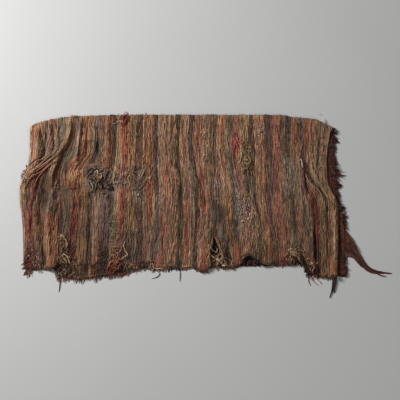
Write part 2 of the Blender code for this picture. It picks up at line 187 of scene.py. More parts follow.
def swell(across, down, seed):
    """Smooth random unevenness from -1 to 1: random heights on a unit lattice, joined by smooth steps."""
    lattice = np.random.default_rng(seed).uniform(-1, 1, (256, 256))
    column = np.floor(across).astype(int)
    line = np.floor(down).astype(int)
    right = ease(across - column)
    lower = ease(down - line)
    first = lattice[line % 256, column % 256] * (1 - right) + lattice[line % 256, (column + 1) % 256] * right
    line = line + 1
    second = lattice[line % 256, column % 256] * (1 - right) + lattice[line % 256, (column + 1) % 256] * right
    return first * (1 - lower) + second * lower


def rip_half_width(name, row):
    """Half the width in ribs of a rip: nothing much above the tip, then opening to the hem."""
    tip, open_row, width = RIPS[name]
    closed = 0.8 * RIP_SPAN
    return (closed + (width - closed) * ease((row - tip) / (open_row - tip))) / 2


def rib_of(warp, row):
    """Rib that a warp place lies on at a row: straight between the nearest lines of warp on either side."""
    places = []
    lines = []
    for name, (place, ribs) in WARP_LINES.items():
        middle = curve(LEVELS, ribs, row)
        if name in RIPS:
            half = rip_half_width(name, row)
            places += [place - RIP_SPAN / 2, place + RIP_SPAN / 2]
            lines += [middle - half, middle + half]
        else:
            places.append(place)
            lines.append(middle)
    places = np.array(places)
    lines = np.array(lines)
    left = np.clip(np.searchsorted(places, warp, side="right") - 1, 0, len(places) - 2)
    share = (warp - places[left]) / (places[left + 1] - places[left])
    near = np.take_along_axis(lines, left[None], axis=0)[0]
    far = np.take_along_axis(lines, left[None] + 1, axis=0)[0]
    return near + (far - near) * share


def under_reach(rib):
    """Row that the under layer and its frayed end reach, with its neighbours' reach on either side."""
    reach = np.full(np.shape(rib), -np.inf)
    for side in (-6, 0, 6):
        place = rib + side
        frayed = (place > UNDER_FRAY_RIBS[0]) & (place < UNDER_FRAY_RIBS[1])
        reach = np.maximum(reach, along(BACK_HEM, place) + np.where(frayed, UNDER_FRAY, 0.0))
    return reach


def lying_height(rib, row):
    """Middle of the upper layer: on the under layer, and down on the floor past the under layer's end."""
    past = ease((row - under_reach(rib) - UNDER_END_GAP) / UNDER_END_SLOPE)
    return HIGH + (LOW - HIGH) * past


def dying_out(line, row, run):
    """Share from 0 to 1 beside a line: 1 along it, and falling over a run of rows past either end."""
    return ease((row - line[0][0] + run) / run) * ease((line[-1][0] + run - row) / run)


def fold_height(rib, row):
    """Sum of the soft folds: each is a bell across its crest, with its own slack on either side."""
    total = np.zeros(np.shape(rib))
    for height, left, right, crest in FOLDS.values():
        offset = rib - along(crest, row)
        slack = np.where(offset < 0, left, right)
        total += height / 1000 * np.exp(-((offset / slack) ** 2)) * dying_out(crest, row, FOLD_END)
    return total


# Lengthwise stripes, as a warp chart: right edge of each in ribs from the left, its wool, and how far in mm
# it stands above or below its neighbours. Dark stripes are thinner yarn, so they lie in troughs.
STRIPES = [
    (11, "cream", 0.5), (12, "rust brown", -0.6), (16.5, "salmon", 0.5), (18.5, "pale orange", 0.2),
    (21.5, "pink cream", 0.5), (24.5, "pale orange", 0.2), (26, "dark olive", -0.6),
    (29, "pink cream", 0.4), (31, "brown", -0.6), (34, "rose", 0.4), (37, "straw", 0.2),
    (44.5, "grey green", -0.2), (47, "pink cream", 0.4), (50, "straw", 0.6), (52.4, "orange", 0.3),
    (54, "rust brown", -1.0), (56.8, "brown", 0.0), (58, "rust brown", -0.4), (60, "brown", -0.5),
    (65, "purple brown", -0.5), (68, "olive tan", 0.5), (71, "rust brown", 0.0), (80, "orange", 0.3),
    (84, "ochre", 0.2), (87.5, "charcoal", -0.7), (91.5, "olive tan", 0.0), (94, "salmon", 0.3),
    (98, "salmon", 0.4), (100, "rust brown", -0.4), (104.5, "charcoal", -0.7), (107.5, "straw", 0.5),
    (116, "coral", 0.4), (123, "ochre", 0.3), (124.5, "olive cream", 0.3), (129.5, "purple brown", -0.8),
    (132, "pink cream", 0.2), (134, "rust", 0.0), (140, "orange ochre", 0.5), (145, "dark purple", -0.8),
    (149, "olive cream", 0.3), (154, "tan", 0.2), (160, "tan", 0.3), (164, "pale orange", 0.2),
    (168, "dark olive", -0.7), (172, "pale orange", 0.4), (176.5, "pink cream", 0.4),
    (181.5, "charcoal", -0.8), (185, "salmon", 0.4), (189, "salmon", 0.2), (192, "pink cream", 0.0),
    (199.5, "olive tan", 0.3), (204.5, "purple brown", -0.7), (214, "pale orange", 0.4),
    (219, "grey olive", -0.4), (228, "salmon", 0.3), (236.5, "straw", 0.2), (241, "purple brown", -0.6),
    (252, "pale orange", 0.4), (258, "purple brown", -0.6), (268, "rosy coral", 0.4),
    (273, "olive tan", 0.2), (278.5, "dark purple", -0.6), (288, "tan", 0.4),
    (292.5, "purple grey", -0.4), (300, "rust", 0.3), (301.3, "dark brown", -0.8), (303.2, "red", 0.3),
    (304.5, "pale orange", 0.4), (308.5, "olive tan", 0.3), (310.5, "dark olive", -0.4),
    (315, "tan", 0.3), (316.5, "ochre", 0.3), (320, "pale orange", 0.5), (321.5, "rust brown", 0.0),
]
# The wools, as the eye sees them in full light: red, green and blue from 0 to 255.
WOOLS = {
    "cream": (178, 150, 120),
    "pale orange": (157, 116, 85),
    "orange": (150, 98, 66),
    "orange ochre": (144, 99, 63),
    "ochre": (138, 105, 71),
    "straw": (152, 124, 88),
    "tan": (138, 105, 79),
    "olive tan": (122, 98, 74),
    "olive cream": (142, 120, 96),
    "pink cream": (160, 127, 102),
    "grey green": (112, 102, 82),
    "grey olive": (96, 86, 68),
    "grey": (100, 88, 78),
    "pale grey": (132, 116, 104),
    "blue grey": (98, 96, 88),
    "purple grey": (100, 82, 78),
    "lilac": (122, 88, 86),
    "lavender": (132, 112, 110),
    "purple": (98, 58, 66),
    "purple brown": (92, 68, 58),
    "dark purple": (78, 58, 52),
    "charcoal": (68, 55, 46),
    "dark olive": (70, 60, 44),
    "green": (86, 90, 60),
    "brown": (98, 71, 46),
    "rust brown": (110, 68, 42),
    "dark brown": (42, 27, 20),
    "black brown": (20, 13, 11),
    "rust": (134, 80, 50),
    "salmon": (148, 101, 78),
    "coral": (148, 82, 60),
    "rosy coral": (142, 88, 72),
    "rose": (126, 84, 74),
    "pale rose": (150, 108, 88),
    "red": (124, 54, 46),
    "bright red": (176, 64, 64),
    "dark red": (92, 40, 34),
    "crimson": (104, 42, 42),
    "maroon": (66, 25, 26),
    "white": (222, 204, 190),
}
# Places where the stripes are worn, stained or mended in other wools, and places where shade is painted in
# dark wools (each noted where it lies), each of a few patches laid in turn: rib and row of the middle, half
# width in ribs, half length in rows, wool, strength and, where it leans, its lean in ribs a row.
PATCHES = {
    "broad darker fields": [
        # Broad fields laid over in brown, and across the upper middle in tan, each at a low strength.
        (200, 58, 100, 12, "tan", 0.3), (34, 112, 40, 46, "rust brown", 0.4),
        (108, 136, 34, 22, "brown", 0.35), (226, 140, 40, 20, "brown", 0.35),
        (290, 120, 26, 50, "brown", 0.25),
    ],
    "top of the left end": [
        (42, 20, 3.4, 9, "grey green", 0.8, -0.1), (12, 57, 6, 6, "salmon", 0.9),
        (15, 30, 2.8, 14, "salmon", 0.8, 0.15), (16, 32, 1.6, 5, "cream", 0.7),
        (10.5, 40, 1.6, 18, "pink cream", 0.7), (23.2, 30, 0.9, 11, "dark olive", 0.7, 0.1),
        (29, 30, 2.6, 15, "rose", 0.7, -0.15), (27, 22, 1.2, 16, "cream", 0.7, -0.05),
    ],
    "crest and upper valley": [
        # The rust brown and purple brown down the upper valley are partly its dye and partly painted shade in
        # the valley.
        (49, 8, 3, 9, "straw", 0.7), (51, 22, 1.6, 17, "rust brown", 0.8, -0.06),
        (54.4, 20, 2.6, 18, "purple brown", 0.85, -0.05), (46.5, 44, 4.6, 13, "grey green", 0.9, -0.3),
    ],
    "valley under the threads": [
        # Painted shade: dark brown, olive and brown fill the hollow under the diagonal threads.
        (24, 70, 6, 15, "dark brown", 0.9, -0.1), (24, 84, 5, 10, "dark olive", 0.6),
        (26, 70, 5.5, 10, "brown", 0.9, -0.1),
    ],
    "left lobe": [
        (3, 77, 2.4, 13, "straw", 0.9), (6.6, 74, 1.2, 9, "dark purple", 0.9, 0.1),
        (13, 80, 3.4, 20, "red", 0.8, -0.25), (15.5, 86, 1, 12, "cream", 0.9, -0.25),
        (9.5, 104, 4.2, 15, "coral", 0.85), (9.5, 112, 3.4, 14, "red", 0.8, 0.03),
        (7.6, 86, 1.8, 10, "purple grey", 0.8, -0.2), (13, 127, 3, 10, "purple", 0.6),
    ],
    "left seam": [
        (16, 112, 3, 18, "orange ochre", 0.7, 0.05), (21, 102, 2.5, 30, "rust brown", 0.7, 0.1),
        (23, 114, 3, 12, "dark brown", 0.7, 0.1),
    ],
    "split ridge": [
        (32, 86, 2.6, 12, "lavender", 0.8, -0.25), (29, 104, 1.8, 5, "crimson", 0.9, 0.2),
        (33, 98, 3, 8, "dark olive", 0.9, -0.1), (38, 98, 2.2, 10, "rose", 0.8, -0.3),
        (38, 76, 4, 9, "pink cream", 0.6), (47, 96, 4.5, 22, "grey olive", 0.9),
        (46, 104, 2.4, 12, "green", 0.5), (41.5, 112, 2, 16, "dark brown", 0.8, 0.05),
    ],
    "pulled bulge": [
        (63, 18, 5, 18, "salmon", 0.7), (58.5, 22, 1.3, 18, "cream", 0.9, -0.1),
        (56, 58, 10, 11, "orange", 0.9, -0.4), (52, 61, 5, 4, "pale orange", 0.8, -0.3),
        (60, 52, 7, 9, "salmon", 0.9, -0.4), (55, 73, 7, 4, "rust brown", 0.8),
        # Painted shade: the dark brown lines along the bulge's left side and under its foot.
        (45.6, 54, 1.2, 7, "dark brown", 0.85, -0.2), (54, 75.5, 8, 1.3, "dark brown", 0.8),
    ],
    "crimson and ochre runs": [
        (55, 103, 3.8, 24, "crimson", 0.95, -0.1), (54, 108, 2.6, 15, "red", 0.85, -0.05),
        (53, 136, 4, 9, "maroon", 0.8, -0.05), (62, 98, 4.2, 26, "ochre", 0.8, -0.05),
        (62.5, 92, 1.2, 18, "orange ochre", 0.8, -0.05), (61, 112, 2, 14, "olive tan", 0.8),
        (68.6, 116, 2.3, 40, "dark purple", 0.98, -0.02), (74, 134, 2, 18, "pale orange", 0.95, 0.02),
    ],
    "ends under the left hem": [
        # Painted shade: the narrow dark brown patches at ribs 61 and 68 are the gaps between the ends.
        (54, 157, 5.4, 9, "rust brown", 0.95), (61.4, 158, 1.1, 7, "dark brown", 0.9),
        (68, 158, 1.3, 7, "dark brown", 0.85), (52, 158, 1.6, 7, "maroon", 0.9, 0.2),
        (56.5, 154, 1.4, 8, "orange", 0.7), (59.6, 155, 0.8, 8, "cream", 0.9),
        (64.5, 157, 3.2, 9, "dark olive", 0.98), (70, 158, 1.6, 5, "pink cream", 0.8),
        (74.5, 156, 2.8, 9, "rust brown", 0.9), (77.5, 157, 1.3, 8, "crimson", 0.8),
        (83, 156, 4, 12, "dark olive", 0.98),
    ],
    "upper slit": [
        (75, 14, 4, 12, "olive cream", 0.8), (77.5, 9, 2.2, 8, "pale grey", 0.85),
        # Painted shade: the dark brown line down the slit.
        (77, 26, 1.4, 12, "dark brown", 0.95), (72, 28, 2.4, 12, "olive cream", 0.8),
    ],
    "grey swirl": [
        (74, 64, 9, 12, "grey", 0.85, 0.1), (72, 74, 4, 7, "grey green", 0.8, 0.1),
        # Painted shade: the dark brown and charcoal patches in the gaps of the swirl.
        (70.5, 61, 1.4, 5, "dark brown", 0.95, -0.3), (82, 70, 1.3, 8, "dark brown", 0.95, 0.2),
        (90, 72, 4, 5, "charcoal", 0.9), (89, 62, 4, 6, "pale grey", 0.7),
    ],
    "rosy bands": [
        (76, 98, 4.4, 25, "pink cream", 0.8, -0.02), (84.5, 96, 5, 26, "lavender", 0.75, -0.03),
        (84, 92, 1.2, 22, "rust brown", 0.7), (85, 128, 3, 8, "purple grey", 0.8),
    ],
    "speckled cream": [
        (94, 110, 4, 13, "olive cream", 0.7, -0.05), (92, 112, 4, 12, "grey olive", 0.6, -0.05),
        (84, 146, 4.5, 11, "dark olive", 0.95, -0.04), (96, 84, 3.4, 18, "olive cream", 0.8),
    ],
    "coral run": [
        (103, 29, 4.4, 15, "coral", 0.9), (101, 50, 5, 5, "pink cream", 0.9),
        (102, 56, 3.6, 6, "purple", 0.8), (101.5, 68, 4.4, 8, "lilac", 0.95),
        (104, 60, 2, 2.5, "cream", 0.8, -0.5), (99, 80, 2.6, 5, "pink cream", 0.8),
        (101.5, 123, 2.8, 10, "purple", 0.9, -0.03), (101, 97, 2.6, 17, "red", 0.65),
        (107, 118, 1.8, 10, "green", 0.9),
    ],
    "red tangle": [
        (97, 130, 5, 6, "lilac", 0.8, -0.1), (93, 149, 6, 6, "red", 0.8, -0.1),
        (96, 134, 4, 6, "olive tan", 0.7), (99, 138, 3, 6, "crimson", 0.8), (91, 155, 3.6, 6, "red", 0.9),
        (102.5, 153, 4, 7, "charcoal", 0.95), (99.5, 158, 4, 4, "maroon", 0.95),
        (113, 138, 8, 16, "grey", 0.85),
    ],
    "knotted middle": [
        (112, 30, 3.6, 18, "orange ochre", 0.5), (118.8, 24, 3, 30, "brown", 0.9),
        (129, 12, 3, 11, "pale orange", 0.7), (126, 112, 1.3, 6, "lavender", 0.8),
        (117.5, 66, 4.6, 12, "purple grey", 0.85), (117, 57, 2.6, 3.5, "dark purple", 0.8),
        (122, 84, 2.2, 14, "grey green", 0.8),
    ],
    "rusty run": [
        (129, 88, 3, 18, "coral", 0.7, -0.02), (126.4, 96, 1.2, 22, "pale rose", 0.9),
        (134, 98, 1.6, 22, "pink cream", 0.8), (137.5, 98, 2.4, 22, "grey green", 0.9),
        (118.8, 112, 2.4, 36, "purple brown", 0.85, 0.02),
    ],
    "rose and mauve runs": [
        (125.5, 132, 2.6, 18, "rose", 0.9, -0.05), (129.5, 132, 1.6, 18, "olive cream", 0.9, -0.05),
        (134, 134, 3, 13, "purple grey", 0.95, -0.1), (138.5, 146, 2.4, 7, "coral", 0.8, -0.1),
    ],
    "coral red run": [
        (143.5, 112, 3.4, 38, "rosy coral", 0.9, -0.02), (141.8, 100, 0.9, 22, "red", 0.6),
        (141.8, 90, 1, 10, "cream", 0.8), (142, 124, 1.4, 14, "crimson", 0.7),
        (142, 28, 2.2, 14, "rose", 0.8), (145, 66, 4.6, 14, "salmon", 0.7),
        (129, 76, 2.4, 12, "coral", 0.8),
    ],
    "bent stripes": [
        (155, 38, 3, 14, "olive tan", 0.7), (168, 74, 3, 10, "lilac", 0.95, 0.02),
        (161, 76, 3, 14, "dark olive", 0.6, 0.05), (161, 112, 2, 6, "green", 0.6),
        (166.5, 116, 2.8, 30, "coral", 0.9), (146, 58, 5, 10, "coral", 0.6),
        (154, 62, 3, 9, "pale rose", 0.7), (167, 118, 1.2, 16, "red", 0.8),
        (171.5, 112, 2.6, 32, "tan", 0.8), (173, 66, 2.2, 22, "grey green", 0.8, 0.1),
    ],
    "rosy lobe left of the tear": [
        (181.5, 64, 2.6, 9, "red", 0.8), (184.5, 88, 3.6, 12, "coral", 0.85),
        (183, 108, 4, 10, "pale rose", 0.8), (178.5, 136, 1.2, 18, "cream", 0.9, -0.02),
        (182, 132, 4, 22, "pale rose", 0.9, -0.02), (184.6, 138, 2.4, 15, "coral", 0.95),
        (182.6, 149, 4.2, 8, "red", 0.9), (181.4, 144, 0.8, 8, "pink cream", 0.7),
        (190, 110, 2.4, 20, "olive tan", 0.8),
    ],
    "flecked ochre": [
        (185, 24, 2, 16, "cream", 0.5), (188, 24, 4, 20, "ochre", 0.5),
        (183.6, 26, 0.8, 26, "olive cream", 0.9), (197.4, 30, 0.8, 30, "pink cream", 0.8),
        (207.4, 34, 0.8, 26, "cream", 0.7, 0.02),
    ],
    "above and beside the tear": [
        (198.5, 98, 5, 11, "charcoal", 0.8, 0.02), (195.5, 106, 2, 9, "blue grey", 0.7),
        (194, 72, 6, 18, "olive tan", 0.8, 0.05), (195, 74, 2.4, 9, "lavender", 0.6),
        (199.5, 78, 2.6, 12, "grey olive", 0.8), (199, 118, 1.5, 8, "pink cream", 0.9, 0.1),
        (201.5, 115, 1, 6, "dark brown", 0.95, 0.1), (203, 125, 3, 8, "blue grey", 0.9, 0.1),
        (208, 134, 4.2, 13, "dark olive", 0.95, 0.1), (205.5, 142, 1.3, 6, "black brown", 0.98),
    ],
    "top above the tear": [
        (202, 14, 2.6, 12, "coral", 0.7), (178.5, 22, 2, 22, "coral", 0.75, 0.03),
        (163, 26, 0.9, 22, "orange", 0.8, 0.02),
    ],
    "pulled runs": [
        (203, 66, 4, 12, "pink cream", 0.7, 0.1), (208, 98, 3.6, 22, "orange ochre", 0.9, 0.12),
        (203, 82, 2, 10, "pink cream", 0.8, 0.1),
    ],
    "red diamond": [
        (216.2, 30, 4.8, 10, "bright red", 1, 0.05), (216, 22, 3, 3.5, "purple", 0.9),
        (216, 47, 2.6, 8, "rust brown", 0.85, 0.05), (219.5, 60, 2.4, 9, "rose", 0.9, 0.03),
    ],
    "worn ochre": [
        (224, 37, 4, 9, "straw", 0.9, 0.1), (227, 50, 5.5, 13, "straw", 0.85),
        (225, 52, 2.4, 8, "dark olive", 0.8, 0.2), (227.3, 51, 1.5, 3, "dark brown", 1),
        # Painted shade: the grey olive field below the worn ochre and its dark olive line.
        (231, 68, 7, 10, "grey olive", 0.9, 0.1), (228, 72, 1.6, 7, "dark olive", 0.9, 0.1),
    ],
    "blue grey run": [
        (209, 34, 2.6, 22, "grey green", 0.8, 0.05), (213.6, 92, 1.2, 28, "dark olive", 0.8, 0.05),
        (216, 90, 2.4, 24, "blue grey", 0.8, 0.05), (219.5, 90, 2, 18, "pale grey", 0.9, 0.05),
        (216.6, 118, 1.2, 16, "dark brown", 0.8, 0.12), (219.6, 116, 2, 14, "grey green", 0.8, 0.06),
    ],
    "white speckle": [
        (226, 92, 4.6, 13, "pale rose", 0.8, 0.05), (231, 102, 5, 14, "pink cream", 0.7),
        (228, 84, 2.4, 5, "ochre", 0.8), (239.5, 104, 1.8, 12, "green", 0.6, 0.05),
        (242, 127, 2.6, 11, "green", 0.95),
    ],
    "pinkish end over the arch": [
        (230, 124, 8.6, 15, "pale rose", 0.8), (233, 130, 4, 8, "tan", 0.7), (225, 122, 2, 9, "rose", 0.6),
        (229, 137, 7, 2.4, "straw", 0.7),
    ],
    "rusty tan runs": [
        (242, 42, 4, 16, "rose", 0.75, 0.05), (243, 70, 3, 10, "orange", 0.7, 0.05),
        (250, 72, 2.6, 22, "grey", 0.7), (248, 104, 4, 9, "rose", 0.8, 0.15),
        (246, 103, 1.7, 8, "red", 0.85, 0.15), (250, 134, 4.4, 12, "rust brown", 0.85, 0.1),
        (252, 112, 1.6, 14, "dark olive", 0.8, 0.1), (254, 122, 2, 14, "grey", 0.8, 0.2),
    ],
    "coral pink run": [
        (256, 66, 3.2, 14, "crimson", 0.7), (256, 94, 4.4, 13, "salmon", 0.9, 0.05),
        (257.5, 96, 1.4, 9, "coral", 0.9, 0.05), (258, 120, 5, 12, "rust brown", 0.7, 0.1),
        (263, 124, 5, 14, "rust brown", 0.75, 0.2), (263, 146, 3.4, 6, "coral", 0.8),
    ],
    "faded right field": [
        (275.5, 28, 3.6, 24, "orange", 0.9), (270.4, 40, 0.9, 30, "pink cream", 0.8),
        (267, 36, 6, 12, "brown", 0.6), (271, 62, 9.5, 20, "grey green", 0.8),
        (268, 42, 6, 1.4, "dark olive", 0.7), (265, 66, 4, 18, "olive cream", 0.85, 0.05),
        (274, 62, 2.4, 12, "blue grey", 0.7), (265, 96, 4, 10, "olive tan", 0.8),
        (271, 83, 3.4, 2.6, "charcoal", 0.9), (286, 92, 2.4, 12, "grey olive", 0.9, 0.05),
    ],
    "left of the slit": [
        (279.5, 112, 2.2, 20, "salmon", 0.8, 0.13), (274, 118, 2.4, 14, "grey olive", 0.85, 0.13),
        (279, 110, 1.2, 16, "ochre", 0.7, 0.12), (272, 126, 8, 9, "olive tan", 0.8),
    ],
    "right runs": [
        (286.5, 35, 1.5, 2.5, "dark brown", 0.9), (292, 52, 8, 22, "olive cream", 0.85),
        (291.6, 34, 2.6, 38, "pale orange", 0.95, -0.02), (289.5, 14, 1, 14, "red", 0.7),
        (303, 34, 3, 14, "rose", 0.6), (290.5, 13, 4.6, 14, "salmon", 0.8),
        (288.5, 13, 0.9, 13, "coral", 0.8), (296, 16, 3, 14, "pale rose", 0.7),
    ],
    "upper right edge": [
        (306, 44, 8, 44, "olive cream", 0.75, -0.04), (302.5, 30, 1.2, 24, "rose", 0.7, -0.04),
        (304, 44, 1.6, 40, "rust brown", 0.8, -0.04), (300, 66, 3, 8, "olive cream", 0.7, 0.6),
        # Painted shadow: the maroon line on the shaded side of the crest.
        (284.5, 67, 1.8, 9, "maroon", 0.95, 0.08),
    ],
    "beside the slit": [
        (288, 104, 3.4, 18, "grey green", 0.8, 0.1), (296, 104, 2.8, 26, "crimson", 0.9),
        # Painted shade: the dark brown line down the slit.
        (294.4, 128, 1.2, 22, "dark brown", 0.95), (285, 126, 2, 14, "rust", 0.7, 0.05),
    ],
    "right edge": [
        (302.6, 112, 1.9, 46, "ochre", 0.9), (300.8, 118, 0.8, 30, "dark olive", 0.7),
        (306.4, 116, 0.9, 44, "dark brown", 0.9), (309.6, 122, 1.8, 36, "rust", 0.85),
        (312.2, 120, 0.7, 38, "rust brown", 0.9), (314.2, 122, 1.3, 40, "cream", 0.8),
        (309, 152, 5, 10, "rust", 0.7),
    ],
    "dash and creases across": [
        # The dark brown lines across are painted shade in creases; the dash is crimson wool.
        (145.5, 113.5, 4, 0.9, "crimson", 0.9), (143, 113.5, 18, 0.8, "dark brown", 0.4),
        (217, 113.5, 38, 0.8, "dark brown", 0.35), (222, 112.4, 20, 0.7, "cream", 0.5),
    ],
    "red fray": [
        (9, 145, 4.5, 11, "crimson", 0.8), (9, 157, 4, 4, "maroon", 0.9),
        (18, 144, 5, 10, "dark olive", 0.8),
    ],
    "orange lobe": [
        (20, 138, 4, 14, "olive tan", 0.9), (31, 128, 7, 24, "orange", 0.95, 0.03),
        (34, 122, 2, 18, "coral", 0.6, 0.03), (28.2, 128, 1.4, 20, "pale orange", 0.9, 0.05),
        # Painted shade: the rust brown line in the lobe's slit and the dark brown lines along its sides.
        (37, 130, 1.8, 18, "pale orange", 0.9), (31.6, 122, 0.9, 15, "rust brown", 0.98, 0.05),
        (40.5, 134, 1.8, 22, "dark brown", 0.9), (25.6, 144, 1.8, 12, "dark brown", 0.9, 0.2),
        (38.6, 148, 1.3, 7, "dark brown", 0.85, -0.25),
    ],
    "pale tangle": [
        (44, 138, 5, 16, "brown", 0.8), (43, 155, 6, 7, "dark brown", 0.8),
    ],
    "rust lobe and orange end": [
        (138.5, 147, 4, 7, "coral", 0.7, -0.1), (215.5, 141, 4.4, 12, "coral", 0.9, 0.1),
        (220.4, 141, 1, 9, "dark brown", 0.85, 0.06), (209.6, 144, 1.2, 8, "dark brown", 0.85, 0.1),
        (211.6, 140, 1.1, 10, "cream", 0.8, 0.1),
    ],
    "dark notch and upper crease": [
        # The dark brown line across the middle is painted shade in a crease.
        (126, 151, 4.4, 3.4, "dark olive", 0.95), (124, 92, 34, 0.7, "dark brown", 0.3),
    ],
}
PATCH_EDGE = 3  # power of the bell, so that a patch has an even middle and a short edge
PATCH_WAVER = 1.1  # ribs by which that edge wavers


def wool_colour(name):
    """The wool's red, green and blue as linear light."""
    seen = np.array(WOOLS[name]) / 255
    return np.where(seen <= 0.04045, seen / 12.92, ((seen + 0.055) / 1.055) ** 2.4)


def patch_colour(rib, row):
    """Colour and strength of the patches: each lies over those before it, with a soft, wavering edge."""
    colour = np.zeros(np.shape(rib) + (3,))
    strength = np.zeros(np.shape(rib))
    waver = PATCH_WAVER * swell(rib / 2.3, row / 5, 41)
    for middle, line, half_width, half_length, wool, most, *lean in sum(PATCHES.values(), []):
        across = np.abs(rib + waver - middle - sum(lean) * (row - line)) / half_width
        down = np.abs(row + 2 * waver - line) / half_length
        share = most * np.exp(-(across**PATCH_EDGE) - down**PATCH_EDGE)
        under = strength * (1 - share)
        strength = under + share
        weight = (share / np.maximum(strength, 1e-6))[..., None]
        colour = colour * (1 - weight) + wool_colour(wool) * weight
    return colour, strength


def stripe_lift(warp):
    """Height of the stripes in metres, smooth from the middle of one to the middle of the next."""
    edges = np.array([LEFT_EDGE] + [stripe[0] for stripe in STRIPES])
    return np.interp(warp, (edges[:-1] + edges[1:]) / 2, [stripe[2] for stripe in STRIPES]) / 1000


# Places where the yarns are pulled about: rib and row, half width in ribs, half length in rows.
RUMPLES = {
    "grey swirl": (74, 62, 10, 13),
    "worn ochre": (226, 48, 8, 17),
    "speckled cream": (94, 114, 6, 14),
    "white speckle": (227, 96, 9, 16),
    "pale tangle": (45, 140, 8, 14),
    "red tangle": (95, 146, 10, 11),
    "red fray": (9, 145, 6, 12),
    "cream tangle": (273, 141, 9, 8),
    "middle of the cloth": (105, 66, 16, 16),
}


def rumpled(rib, row):
    """Share from 0 to 1 by which the yarns are pulled about."""
    total = np.zeros(np.shape(rib))
    for middle, line, half_width, half_length in RUMPLES.values():
        total += np.exp(-(((rib - middle) / half_width) ** 2) - ((row - line) / half_length) ** 2)
    return np.clip(total, 0.0, 1.0)


# Small ridges and creases set in the face: half width in ribs, height in mm, and the line as (row, rib).
CREASE_END = 4.0
CREASES = {
    "edge ridge": (1.2, 2, [(10, 10.5), (28, 10), (50, 9.6)]),
    "corner ridge": (2.2, 5, [(10, 14), (18, 16), (28, 18), (36, 17.5), (45, 16)]),
    "corner valley": (1.5, -5, [(14, 20.5), (24, 22), (34, 24.5), (42, 24)]),
    "pale ridge": (1.5, 4, [(8, 18), (16, 21.5), (24, 24), (30, 25.5)]),
    "rosy ridge": (2, 5, [(8, 27), (20, 29), (30, 31), (38, 29), (46, 25)]),
    "rosy valley": (1.3, -5, [(12, 31.5), (24, 33.5), (34, 33.5), (40, 31)]),
    "second pale ridge": (1.5, 4, [(6, 33), (16, 36), (26, 38), (34, 37)]),
    "olive dip": (4, -1.5, [(6, 42), (24, 42), (30, 40)]),
    "crest": (2.4, 1.8, [(4, 46.5), (12, 48.5), (22, 48), (30, 44.5), (38, 39), (46, 35), (56, 32.5),
        (66, 32)]),
    "crest valley": (1.2, -0.8, [(6, 51), (18, 51), (28, 49), (36, 44), (46, 38), (56, 35), (66, 34.5)]),
    "thin pale ridge": (1.3, 4.5, [(4, 56), (12, 58.5), (24, 58.5), (36, 57.5), (44, 56)]),
    "salmon ridge": (1.2, 3, [(4, 63), (20, 64), (36, 63), (44, 60)]),
    "salmon valley": (1, -3, [(4, 66.5), (20, 67), (40, 66)]),
    "bulge foot": (8, -4.5, [(73, 53), (77, 56)]),
    "bulge pucker": (1, -2.5, [(56, 60), (66, 57), (74, 55)]),
    "dark slit": (1.3, -4, [(14, 77), (24, 78), (36, 77)]),
    "ridge beside the slit": (1.4, 3, [(4, 73), (20, 73.5), (36, 74)]),
    "orange ridge": (1.6, 3.5, [(2, 87), (20, 87.5), (36, 87)]),
    "red ridge on the left": (1.5, 4.5, [(64, 15), (80, 13), (92, 10), (110, 9)]),
    "hollow on the left": (2.5, -5, [(58, 27), (75, 25), (90, 21), (110, 20)]),
    "mauve ridge": (1.6, 5, [(66, 37), (78, 33), (90, 29), (100, 27.5)]),
    "hollow beside the mauve": (2, -3, [(66, 41), (80, 38), (92, 33), (100, 31)]),
    "ochre ridge": (2, 2, [(90, 15), (110, 16), (125, 18)]),
    "rough ridge": (1.5, 2, [(84, 21), (100, 22), (115, 24)]),
    "rose ridge": (1.3, 2.5, [(96, 40), (110, 36.5), (120, 37)]),
    "lobe left": (1.2, -4, [(104, 26), (118, 24), (135, 23.5), (150, 25)]),
    "lobe slit": (0.9, -3.5, [(106, 30.5), (120, 31), (135, 32), (148, 33)]),
    "lobe right": (1.5, -5, [(108, 39.5), (125, 39.5), (145, 39.5)]),
    "olive lobe": (3, 3, [(122, 20), (135, 20), (148, 21)]),
    "worn red ridge": (1.6, 2, [(90, 53), (105, 52), (116, 52)]),
    "red valley": (2.2, -3.5, [(122, 52), (132, 53), (145, 54)]),
    "cream ridge": (1.2, 2, [(110, 73.5), (130, 74), (148, 73)]),
    "dark red valley": (1.2, -2.5, [(80, 69), (110, 69.5), (148, 68)]),
    "rosy band ridge": (1.6, 1.5, [(80, 80), (100, 79), (125, 76)]),
    "coral ridge": (3, 3, [(14, 103), (45, 103), (70, 101.5), (110, 102), (130, 101)]),
    "bent valley": (1.5, -3, [(50, 157), (62, 161), (76, 161), (90, 161)]),
    "bent ridge": (1.6, 4, [(48, 171), (60, 174), (74, 179), (88, 181)]),
    "second bent valley": (1.2, -4, [(50, 176), (62, 178), (76, 184), (90, 186)]),
    "crest line": (1.6, 5.5, [(56, 283), (66, 288), (76, 295), (84, 302), (94, 306)]),
    "crest shade": (1.6, -4.5, [(50, 284), (62, 285.5), (72, 290)]),
    "second crest line": (1.5, 4.5, [(52, 292), (64, 297), (74, 303), (82, 308)]),
    "right slit": (0.9, -4, [(100, 294.5), (130, 294.5), (150, 295)]),
    "right ridge": (1.5, 2.5, [(84, 314), (110, 315), (150, 314.5)]),
    "right valley": (1.3, -2.5, [(84, 309), (110, 310), (150, 310.5)]),
    "diamond edge": (1.4, 2.5, [(18, 221), (30, 222.5), (44, 220)]),
    "diamond hollow": (2.4, -3, [(38, 215), (44, 215.5), (50, 216)]),
    "above the arch": (7, 3, [(132, 229), (138, 230)]),
}
